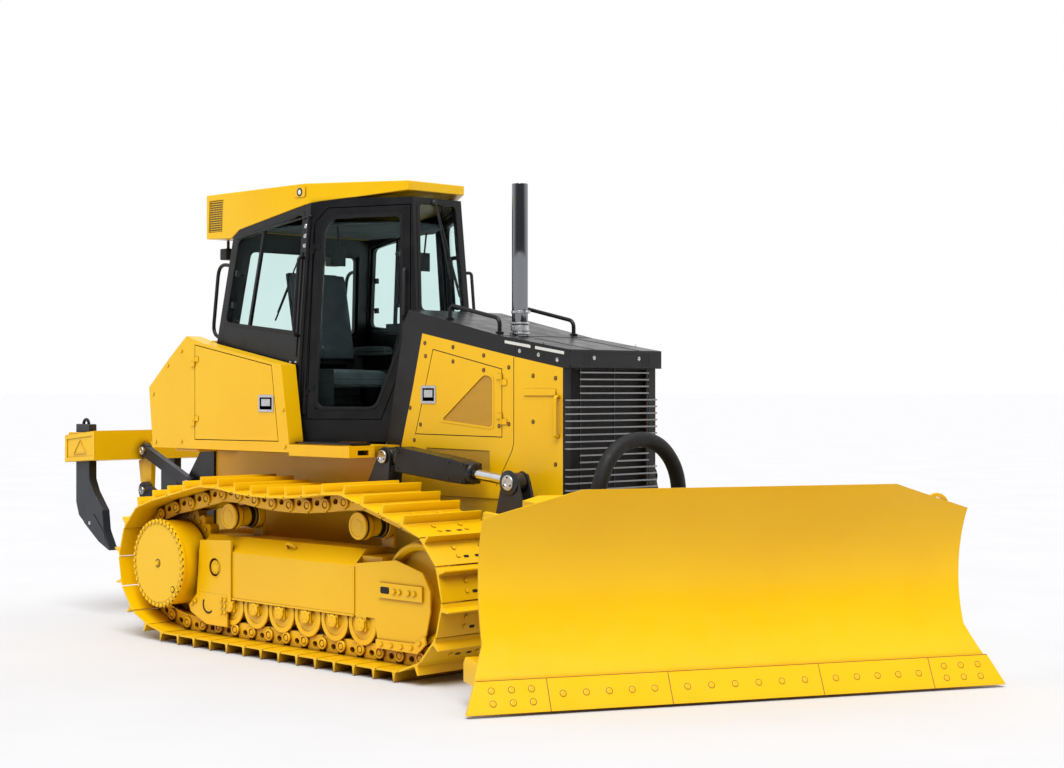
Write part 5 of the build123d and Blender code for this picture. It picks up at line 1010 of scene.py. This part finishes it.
# ---------------------------------------------------------------- roof
ROOF_SIDE_Y = 0.622
roof = shelf("roof_panels", "chassis", "yellow", 0.008)
prism(roof, level(3.060), fillet(((-0.30, -0.50), (0.70, -0.50), (1.22, -0.20), (1.22, 0.20), (0.70, 0.50),
                                  (-0.30, 0.50)), 0.08), 0.0, 0.004)
for out, name in SIDES.items():
    face = side(out, ROOF_SIDE_Y - 0.014)
    vent = ((-0.320, 2.802), (-0.162, 2.802), (-0.152, 3.018), (-0.310, 3.018))
    prism(roof, face, grow(vent, -0.001), -0.002, 0.007)
    # dark blocks of painted shade stand in for the vent's slits
    slits = shelf("roof_vent_" + name, "chassis", "iron")
    for row in range(13):
        z = 2.8145 + row * 0.0158
        lean = (z - 2.802) * 0.046
        for col in range(8):
            x = -0.3065 + lean + col * 0.0186
            block(slits, face, (x - 0.0072, x + 0.0072), (z - 0.0052, z + 0.0052), (0.004, 0.0076))
    lamp = side(out, 0.613) @ shift(0.715, 3.010)
    prism(shelf("lamp_box_" + name, "chassis", "yellow", 0.003), lamp,
          fillet(rect(0.055, 0.036), 0.01, 2), -0.004, 0.004,
          (circle(0, 0, 0.027, 24),))
    lathe(shelf("lamp_ring_" + name, "chassis", "plastic"), lamp,
          ((0.027, -0.002), (0.027, 0.007), (0.020, 0.008), (0.018, 0.003)), 24)
    lathe(shelf("lamp_lens_" + name, "chassis", "lens"), lamp,
          ((0.019, 0.0), (0.019, 0.004), (0.012, 0.006), (0, 0.007)), 24)
    horn = upright(0.120, out * 0.600, 3.045) @ QUARTER_Y
    lathe(shelf("roof_horn_" + name, "chassis", "plastic"), horn @ shift(z=-0.03),
          ((0.008, 0), (0.010, 0.03), (0.018, 0.055), (0.016, 0.06), (0.0, 0.045)), 20)
    # work lamp under the overhang: rim and lens facing the rear
    rear_lamp = axes(at(-0.330, out * 0.475, 2.660), (0, -1, 0), (0, 0, 1))
    lathe(shelf("work_lamp_rim_" + name, "chassis", "plastic"), rear_lamp,
          ((0.036, -0.004), (0.036, 0.008), (0.030, 0.010), (0.029, 0.004)), 24)
    lathe(shelf("work_lamp_lens_" + name, "chassis", "lens"), rear_lamp,
          ((0.030, 0.0), (0.030, 0.004), (0.018, 0.007), (0, 0.008)), 24)


def pad(label, m, wide, deep, thick, crown):
    """A crowned cushion with piping round its rim and two stitched seams."""
    bm = bmesh.new()
    cushion(bm, m, wide, deep, thick, crown)
    made = finish_mesh(bm, label, FABRIC, "chassis")
    piping = shelf("seat_piping", "chassis", "plastic")
    rim = fillet(rect(wide / 2, deep / 2), 0.01, 2)
    pipe(piping, [m @ Vector((x * 0.985, y * 0.985, thick * 0.45)) for x, y in [*rim, rim[0]]], 0.004, 0, 8)
    for x in (-wide * 0.27, wide * 0.27):
        pipe(piping, [m @ Vector((x, y * deep, thick + crown * (1 - 4 * y * y) * 0.7 - 0.004))
                      for y in (-0.36, -0.18, 0.0, 0.18, 0.36)], 0.0025, 0, 6)
    return made


seat_pad = pad("seat_cushion", upright(0.355, 0, 1.715), 0.500, 0.500, 0.105, 0.014)
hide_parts("seat")
back_frame = axes(at(0.135, 0, 2.195), (0, 1, 0), (-0.19, 0, 0.98))
pad("seat_back", back_frame, 0.460, 0.620, 0.085, 0.020)
for out, name in SIDES.items():
    pad("armrest_" + name, upright(0.335, out * 0.305, 1.935), 0.430, 0.076, 0.060, 0.004)
shell = shelf("seat_shell", "chassis", "plastic", 0.008)
block(shell, level(0), (0.110, 0.600), (-0.245, 0.245), (1.702, 1.722))
block(shell, back_frame, (-0.220, 0.220), (-0.330, 0.330), (-0.035, 0.004))
block(shell, level(0), (0.170, 0.400), (-0.170, 0.170), (1.4105, 1.702))
for z in (1.47, 1.53, 1.59, 1.65):          # the suspension's bellows
    block(shell, level(0), (0.158, 0.412), (-0.178, 0.178), (z - 0.012, z + 0.012))
for out in (LEFT, RIGHT):
    block(shell, level(0), (0.150, 0.240), (out * 0.245, out * 0.330), (1.780, 1.938))
    block(shell, level(0), (0.180, 0.760), (out * 0.355, out * 0.500), (1.4105, 1.830))
    stick = at(0.600, out * 0.425, 1.828)
    lathe(shelf("levers", "chassis", "gasket", 0.001), Matrix.Translation(stick),
          ((0.040, 0), (0.034, 0.014), (0.014, 0.055), (0.010, 0.140), (0.018, 0.150), (0.024, 0.200), (0.016, 0.232),
           (0, 0.238)), 18)
dash = shelf("dash_trim", "chassis", "plastic", 0.006)
block(dash, level(0), (1.150, 1.340), (-0.235, 0.235), (2.060, 2.128))
screen = axes(at(1.175, 0, 2.160), (0, -1, 0), (0.25, 0, 0.97))
block(dash, screen, (-0.110, 0.110), (-0.060, 0.070), (-0.030, 0.0))
block(shelf("dash_screen", "chassis", "lens", 0.002), screen, (-0.095, 0.095), (-0.048, 0.058), (0.0, 0.002))
for y in (-0.10, 0.10):
    pipe(dash, [at(1.060, y, 1.412), at(1.075, y, 1.500), at(1.120, y, 1.540)], 0.012, 0.02, 8)
for k in range(9):                          # louvres of the console's side
    z = 1.560 + k * 0.036
    for out in (LEFT, RIGHT):
        block(dash, side(out, 0.170), (1.150, 1.340), (z, z + 0.014), (-0.002, 0.007))
liner = shelf("headliner", "chassis", "cloth", 0.01)
prism(liner, level(2.790), ((0.06, -0.52), (0.80, -0.52), (1.26, -0.19), (1.26, 0.19), (0.80, 0.52), (0.06, 0.52)), 0,
      0.02)
mirror = shelf("inside_mirror", "chassis", "plastic", 0.004)
for out, name in SIDES.items():
    block(mirror, level(0), (0.835, 0.850), (out * 0.330, out * 0.430), (2.520, 2.650))
    pipe(mirror, [at(0.845, out * 0.380, 2.640), at(0.845, out * 0.400, 2.790)], 0.007, 0, 8)
    grip = placed(sided(out, door_wall), (0.185, 0.900, -0.030), (0.185, 0.900, -0.080), (0.190, 1.240, -0.080),
                  (0.190, 1.240, -0.030))
    pipe(shelf("inside_grip_" + name, "cab_door_" + name, "plastic"), grip, 0.014, 0.04, 12)

# ---------------------------------------------------------------- fenders, deck and tank
FENDER_OUT = 0.860
for out, name in SIDES.items():
    face = side(out, FENDER_OUT)
    door = "fender_door_" + name
    latch(door + "_latch", face @ shift(0.672, 1.600), door, 0.082, 0.056)
    grip = shelf("deck_grip_" + name, "chassis", "yellow", 0.0)
    for k in range(26):                     # serrated edge of the deck
        x = 0.940 + k * 0.0215
        prism(grip, level(1.335), ((x, out * 0.800), (x + 0.011, out * 0.815), (x + 0.011, out * 0.852),
                                   (x, out * 0.838)), -0.001, 0.005)
    for k in range(5):
        for j in range(10):
            button(grip, level(1.3345) @ shift(1.000 + 0.100 * k, out * (0.470 + 0.032 * j)), 0.006, 0.5)
    # a dark block of painted shade stands in for the opening in the deck
    hole = axes(at(1.532, out * 0.745, 1.292), (0, 1, 0), (0, 0, 1))
    block(shelf("deck_opening_" + name, "chassis", "iron"), hole, (-0.044, 0.044), (-0.015, 0.015), (-0.060, -0.040))
    for x, z in ((-0.620, 1.320), (-0.650, 1.660), (-0.300, 1.330), (0.880, 1.320), (0.860, 1.560), (-0.300, 1.960),
                 (-0.470, 1.860)):
        bolt(bolts_of("chassis", "yellow"), face @ shift(x, z), 0.010)
    step = shelf("cab_step_" + name, "chassis", "charcoal", 0.004)
    block(step, level(0), (0.930, 1.480), (out * 0.640, out * 0.820), (1.3365, 1.352))
    pipe(step, [at(-0.560, out * 0.780, 1.842), at(-0.560, out * 0.780, 1.900)], 0.010, 0, 8)
cap = upright(-0.420, 0.450, 1.925)
lathe(shelf("tank_cap", "chassis", "charcoal", 0.002), cap, ((0.050, -0.02), (0.050, 0.030), (0.040, 0.040),
                                                             (0, 0.042)), 28)
tail = axes(at(-0.7045, 0, 1.560), (0, -1, 0), (0, 0, 1))
grill = shelf("tank_rear_ribs", "chassis", "yellow", 0.004)
for y in (-0.55, -0.28, 0.0, 0.28, 0.55):
    block(grill, tail @ shift(y), (-0.010, 0.010), (-0.140, 0.130), (-0.012, 0.006))
for y in (-0.66, 0.66):
    lamp = tail @ shift(y, 0.060, 0.002)
    lathe(shelf("tail_lamps", "chassis", "lens"), lamp, ((0.036, -0.008), (0.036, 0.006), (0.026, 0.012), (0, 0.014)),
          24)
    lathe(shelf("tail_lamp_rims", "chassis", "plastic"), lamp, ((0.046, -0.008), (0.046, 0.006), (0.037, 0.008)), 24)

# ---------------------------------------------------------------- cylinders
LINE_TURN = 2.2                             # how far round its barrel a hard line lies, in radians


def pin_head(body, m, radius, key="silver"):
    """A pin's flat head on local z = 0, held by three screws."""
    lathe(shelf("pin_heads_" + body, body, key), m, ((radius, 0), (radius, 0.008), (radius * 0.93, 0.011),
                                                     (radius * 0.45, 0.011), (radius * 0.40, 0.008), (0, 0.008)), 32)
    for dx, dy in ring(3, radius * 0.68, math.pi / 2):
        bolt(bolts_of(body, "steel"), m @ shift(dx, dy, 0.011), radius * 0.13, washer=False)


def ram(barrel, rod, rear, eye, across, thick, barrel_r, rod_r, barrel_len, rod_len, eye_r, first=True):
    """A hydraulic cylinder: barrel with gland and hard line, chromed rod, and their eyes."""
    m = axes(rear, across, (eye - rear).normalized().cross(across))
    if m.to_3x3().col[2].dot(eye - rear) < 0:
        m = axes(rear, across, across.cross(eye - rear))
    neck, long = eye_r + 0.034, (eye - rear).length
    tube = shelf(barrel + "_tube", barrel, "steel", 0.0, (barrel,) if first else ())
    lathe(tube, m, ((thick * 0.42, 0.01), (thick * 0.45, neck - 0.012), (barrel_r * 0.86, neck),
                    (barrel_r, neck + 0.010),
                    (barrel_r, barrel_len - 0.085), (barrel_r + 0.005, barrel_len - 0.080),
                    (barrel_r + 0.005, barrel_len - 0.014), (barrel_r - 0.003, barrel_len),
                    (rod_r + 0.006, barrel_len), (rod_r + 0.003, barrel_len - 0.004)), 40)
    for end_m, piece in ((m, tube), (m @ shift(z=long), shelf(rod + "_eye", rod, "steel"))):
        eye_frame = end_m @ QUARTER_Y @ shift(z=-thick / 2)
        lathe(piece, eye_frame, ((eye_r * 0.55, 0), (eye_r - 0.004, 0), (eye_r, 0.004), (eye_r, thick - 0.004),
                                 (eye_r - 0.004, thick), (eye_r * 0.55, thick)), 36)
    lathe(shelf(rod + "_eye", rod, "steel"), m, ((rod_r * 1.35, long - eye_r - 0.006),
                                                 (rod_r * 1.45, long - eye_r - 0.003),
                                                  (rod_r * 1.45, long - eye_r * 0.8), (rod_r * 1.2,
                                                                                       long - eye_r * 0.6)), 28)
    lathe(shelf(rod + "_bar", rod, "chrome", 0.0, (rod,) if first else ()), m,
          ((rod_r, long - rod_len), (rod_r, long - eye_r * 0.8)), 32)
    lathe(shelf(barrel + "_seal", barrel, "gasket"), m, ((rod_r + 0.0045, barrel_len - 0.001),
                                                         (rod_r + 0.0045, barrel_len + 0.004),
                                                        (rod_r + 0.001, barrel_len + 0.004)), 28)
    line = shelf(barrel + "_lines", barrel, "steel")
    r, z0, z1 = barrel_r + 0.012, neck + 0.035, barrel_len - 0.045
    around = m @ Matrix.Rotation(LINE_TURN, 4, "Z")
    pipe(line, placed(around, (barrel_r * 0.9, 0, z0), (r, 0, z0), (r, 0, z1), (barrel_r * 0.9, 0, z1)), 0.0065, 0.02,
         8)
    for z in (z0, z1):
        lathe(line, around @ shift(barrel_r - 0.004, 0, z) @ QUARTER_Y, ((0.014, 0), (0.014, 0.010), (0.011, 0.013)), 6)
    return m


LIFT_REAR, LIFT_FRONT, LIFT_Y = (1.580, 1.267), (2.720, 1.143), 0.560
for out, name in SIDES.items():
    rear, eye = at(LIFT_REAR[0], out * LIFT_Y, LIFT_REAR[1]), at(LIFT_FRONT[0], out * LIFT_Y, LIFT_FRONT[1])
    m = ram("lift_barrels", "lift_rods", rear, eye, Vector((0, 1, 0)), 0.068, 0.064, 0.032, 0.790, 0.640, 0.058,
            out == LEFT)
    cover = shelf("lift_housings", "lift_barrels", "charcoal", 0.008)
    prism(cover, m @ Matrix.Rotation(-math.pi / 2, 4, "Y"), ((0.125, -0.080), (0.640, -0.072), (0.775, -0.066),
                                                             (0.775, 0.060), (0.640, 0.072), (0.125,
                                                                                              0.080)), -0.069, 0.069)
    for z in (0.150, 0.620, 0.745):
        for y in (-0.050, 0.050):
            bolt(bolts_of("lift_barrels", "steel"), m @ shift(out * 0.069, y, z) @ Matrix.Rotation(out * math.pi / 2,
                                                                                                   4, "Y"),
                 0.008)
    pin_head("chassis", side(out, LIFT_Y + 0.068) @ shift(*LIFT_REAR), 0.042)
    pin_head("c_frame", side(out, LIFT_Y + 0.068) @ shift(*LIFT_FRONT), 0.046)
    lathe(shelf("pin_collars", "c_frame", "steel"), side(out, LIFT_Y + 0.062) @ shift(*LIFT_FRONT),
          ((0.074, 0), (0.074, 0.005), (0.068, 0.0075)), 40)
    pin_head("chassis", side(out, 0.612) @ shift(0.950, 0.550), 0.040)

BLADE_ANGLE = math.radians(26.5)            # the blade's turn to the machine's right, at rest
SIN_B, COS_B = math.sin(BLADE_ANGLE), math.cos(BLADE_ANGLE)
U_AXIS, N_AXIS = Vector((SIN_B, COS_B, 0)), Vector((COS_B, -SIN_B, 0))
SWIVEL = at(3.650, 0, 0)
UP = Vector((0, 0, 1))


def blade_at(n, u, z):
    """A place forward of the swivel, along the blade to its left end, and above the ground."""
    return SWIVEL + N_AXIS * n + U_AXIS * u + UP * z


def blade_face(n):
    """Along the blade: local x to its left end, local y up, local z forward."""
    return axes(blade_at(n, 0, 0), U_AXIS, UP)


ANGLE_X, ANGLE_Y, ANGLE_Z = 2.980, 0.535, 0.790             # an angle cylinder's rear pin
EAR_N, EAR_U, EAR_TOP = 0.120, 0.400, 0.852                 # its front pin on the yoke, and the top of both ears
for out, name in SIDES.items():
    ram("angle_barrel_" + name, "angle_rod_" + name, at(ANGLE_X, out * ANGLE_Y, ANGLE_Z),
        blade_at(EAR_N, out * EAR_U, ANGLE_Z), UP, 0.076, 0.050, 0.025, 0.545, 0.500, 0.048)
    for place, body in ((at(ANGLE_X, out * ANGLE_Y, EAR_TOP), "c_frame"),
                        (blade_at(EAR_N, out * EAR_U, EAR_TOP), "yoke")):
        pin_head(body, Matrix.Translation(place), 0.036)
ram("tilt_barrel", "tilt_rod", blade_at(0.195, -0.240, 0.935), blade_at(0.195, 0.430, 0.975), N_AXIS, 0.044, 0.042,
    0.024,
    0.480, 0.420, 0.040)
RAM_FRONT, RAM_EYE = (-0.740, 1.180), (-1.2874, 0.8978)
ram("ripper_barrel", "ripper_rod", at(RAM_FRONT[0], 0, RAM_FRONT[1]), at(RAM_EYE[0], 0, RAM_EYE[1]), Vector((0, 1, 0)),
    0.066, 0.052, 0.027, 0.550, 0.520, 0.044)

# ---------------------------------------------------------------- C-frame and blade
for out in (LEFT, RIGHT):
    arm = side(out, 0.600)
    for x in (1.30, 1.90, 2.40):
        block(shelf("arm_bands", "c_frame", "steel", 0.003), arm, (x - 0.008, x + 0.008), (0.470, 0.600),
              (-0.002, 0.005))
for y in (-0.57, 0.14):
    lathe(shelf("hose_fittings", "c_frame", "silver"), upright(3.350, y, 0.6905),
          ((0.060, 0), (0.060, 0.012), (0.052, 0.016), (0.052, 0.050), (0.0465, 0.054)), 32)

BLADE_REST_Z, EDGE_TOP, EDGE_SLOPE, BLADE_REACH = 0.015, 0.177, 0.082, 0.695
edge = axes(blade_at(BLADE_REACH, 0, BLADE_REST_Z), U_AXIS, UP * (EDGE_TOP - BLADE_REST_Z) - N_AXIS * EDGE_SLOPE)
EDGE_HIGH = math.hypot(EDGE_TOP - BLADE_REST_Z, EDGE_SLOPE)
seams = shelf("edge_seams", "blade", "worn")
for u in (-1.140, -0.450, 0.450, 1.140):
    block(seams, edge, (u - 0.0022, u + 0.0022), (0.002, EDGE_HIGH - 0.001), (-0.010, 0.0006))
pipe(seams, [edge @ Vector((u, EDGE_HIGH + 0.001, -0.001)) for u in (-1.526, 1.526)], 0.0022, 0, 6)
edge_bolts = []
for out in (-1, 1):
    edge_bolts += [(out * u, v) for u in (1.230, 1.340, 1.450) for v in (0.058, 0.128)]
    edge_bolts += [(out * u, 0.094) for u in (0.540, 0.670, 0.800, 0.930, 1.060)]
edge_bolts += [(-0.350 + 0.140 * k, 0.094) for k in range(6)]
heads, rings = shelf("edge_bolts", "blade", "yellow"), shelf("edge_bolt_rings", "blade", "worn")
for u, v in edge_bolts:
    spot = edge @ shift(u, v)
    torus(rings, spot @ shift(z=-0.0004), 0.0175, 0.0020, 24, 6)
    lathe(heads, spot, ((0.0155, -0.002), (0.0155, 0.0008), (0.012, 0.0020), (0.007, 0.0020), (0.006, 0.0006),
                        (0, 0.0006)), 20)
for u in (-1.05, 0.55):                     # caps on the ribs behind the blade
    block(shelf("rib_caps", "blade", "yellow", 0.003), blade_face(0.265), (u - 0.05, u + 0.05), (0.90, 0.91),
          (0.0, 0.05))

# ---------------------------------------------------------------- ripper
LINK_A, LINK_RUN, LINK_RISE = (-0.780, 0.700), (-0.590, 0.230), 0.300
for out in (LEFT, RIGHT):
    for rise in (0, LINK_RISE):
        pin_head("chassis", side(out, 0.490) @ shift(LINK_A[0], LINK_A[1] + rise), 0.030)
        pin_head("ripper_beam", side(out, 0.490) @ shift(LINK_A[0] + LINK_RUN[0], LINK_A[1] + LINK_RUN[1] + rise),
                 0.030)
    end = side(out, 0.850)
    plates = shelf("beam_ends", "ripper_beam", "yellow", 0.003)
    rim = ((-1.856, 1.144), (-1.444, 1.169), (-1.444, 1.381), (-1.856, 1.341))
    prism(plates, end, rim, -0.001, 0.006, (grow(rim, -0.030),))
    bar = [end @ Vector((x, z, 0.002)) for x, z in ((-1.735, 1.205), (-1.565, 1.215), (-1.650, 1.310), (-1.735, 1.205))]
    pipe(plates, bar, 0.005, 0, 6)
flanges = shelf("beam_flanges", "ripper_beam", "yellow", 0.003)
SHANK_Y, TOOTH_PIN = (-0.757, 0.0, 0.757), (-1.600, 0.690)
for y in SHANK_Y:
    for dy in (-0.062, 0.062):
        block(flanges, side(LEFT, 0), (-1.845, -1.585), (1.346, 1.368), (y + dy - 0.012, y + dy + 0.012))
    loop = side(LEFT, y) @ shift(-1.715, 1.428)
    torus(shelf("shank_eyes", "ripper_beam", "charcoal"), loop, 0.036, 0.012, 28, 10)
    for x, z in ((-1.700, 1.300), (-1.700, 1.190)):
        bolt(bolts_of("ripper_beam", "steel"), axes(at(-1.861, y, z - 0.03), (0, -1, 0), (0, 0, 1)), 0.014)
    tooth = shelf("ripper_teeth", "ripper_beam", "steel", 0.004)
    prism(tooth, side(LEFT, 0), ((-1.690, 0.690), (-1.560, 0.760), (-1.430, 0.640), (-1.336, 0.498), (-1.480, 0.556)),
          y - 0.040, y + 0.040)
    for out in (RIGHT, LEFT):
        lathe(shelf("tooth_pins", "ripper_beam", "silver"), side(out, 0) @ shift(*TOOTH_PIN, out * y + 0.040),
              ((0.014, 0), (0.014, 0.004), (0.010, 0.006)), 16)

close_shelf()

# ---------------------------------------------------------------- floor and light


FLOOR_HALF, FLOOR_DROP = 400, 0.001


def make_floor():
    """A plain pale floor, just under the tracks."""
    bm = bmesh.new()
    bmesh.ops.create_grid(bm, x_segments=1, y_segments=1, size=FLOOR_HALF)
    mesh = bpy.data.meshes.new("floor")
    bm.to_mesh(mesh)
    bm.free()
    f = Finish("pale_floor", 0.8, specular=0.0)
    f.colour(f.mix(f.remap(f.noise(0.8, 3), 0.3, 0.7, 0, 1), rgb(205, 205, 207), rgb(208, 208, 210)))
    f.bump(f.noise(30, 3), 0.01, 0.001)
    mesh.materials.append(f.mat)
    floor = bpy.data.objects.new("floor", mesh)
    bpy.context.scene.collection.objects.link(floor)
    floor.location.z = -FLOOR_DROP


SKY_NEAR, SKY_FAR, SKY_SHOWN = 0.14, 0.95, 1.0      # light from the camera's side, from behind; seen as backdrop
SKY_TURN = -0.2, 0.55                       # where the sky's light starts and ends its change, as a cosine
SUN, SUN_FROM, SUN_SPREAD = 3.2, (0.45, -0.52, 1.0), math.radians(40)


def make_light():
    """A bright backdrop behind the machine, a dimmer room on the camera's side, and one broad soft key."""
    world = bpy.data.worlds.new("studio")
    world.use_nodes = True
    nodes, links = world.node_tree.nodes, world.node_tree.links
    background, output = nodes["Background"], nodes["World Output"]
    toward = nodes.new("ShaderNodeVectorMath")
    toward.operation = "DOT_PRODUCT"
    toward.inputs[1].default_value = (math.sin(CAMERA_TURN), -math.cos(CAMERA_TURN), -0.25)
    links.new(nodes.new("ShaderNodeTexCoord").outputs["Generated"], toward.inputs[0])
    level_of = nodes.new("ShaderNodeMapRange")
    for key, number in (("From Min", SKY_TURN[0]), ("From Max", SKY_TURN[1]), ("To Min", SKY_FAR),
                        ("To Max", SKY_NEAR)):
        level_of.inputs[key].default_value = number
    links.new(toward.outputs["Value"], level_of.inputs["Value"])
    links.new(level_of.outputs["Result"], background.inputs["Strength"])
    background.inputs["Color"].default_value = (1, 1, 1, 1)
    shown = nodes.new("ShaderNodeBackground")
    shown.inputs["Strength"].default_value = SKY_SHOWN
    shown.inputs["Color"].default_value = (1, 1, 1, 1)
    choice = nodes.new("ShaderNodeMixShader")
    links.new(nodes.new("ShaderNodeLightPath").outputs["Is Camera Ray"], choice.inputs[0])
    links.new(background.outputs["Background"], choice.inputs[1])
    links.new(shown.outputs["Background"], choice.inputs[2])
    links.new(choice.outputs["Shader"], output.inputs["Surface"])
    bpy.context.scene.world = world
    data = bpy.data.lights.new("sun", "SUN")
    data.angle = SUN_SPREAD
    data.energy = SUN
    sun = bpy.data.objects.new("sun", data)
    sun.rotation_euler = Vector(SUN_FROM).to_track_quat("Z", "Y").to_euler()
    bpy.context.scene.collection.objects.link(sun)
    bpy.context.scene.view_settings.view_transform = "Standard"


make_floor()
make_light()
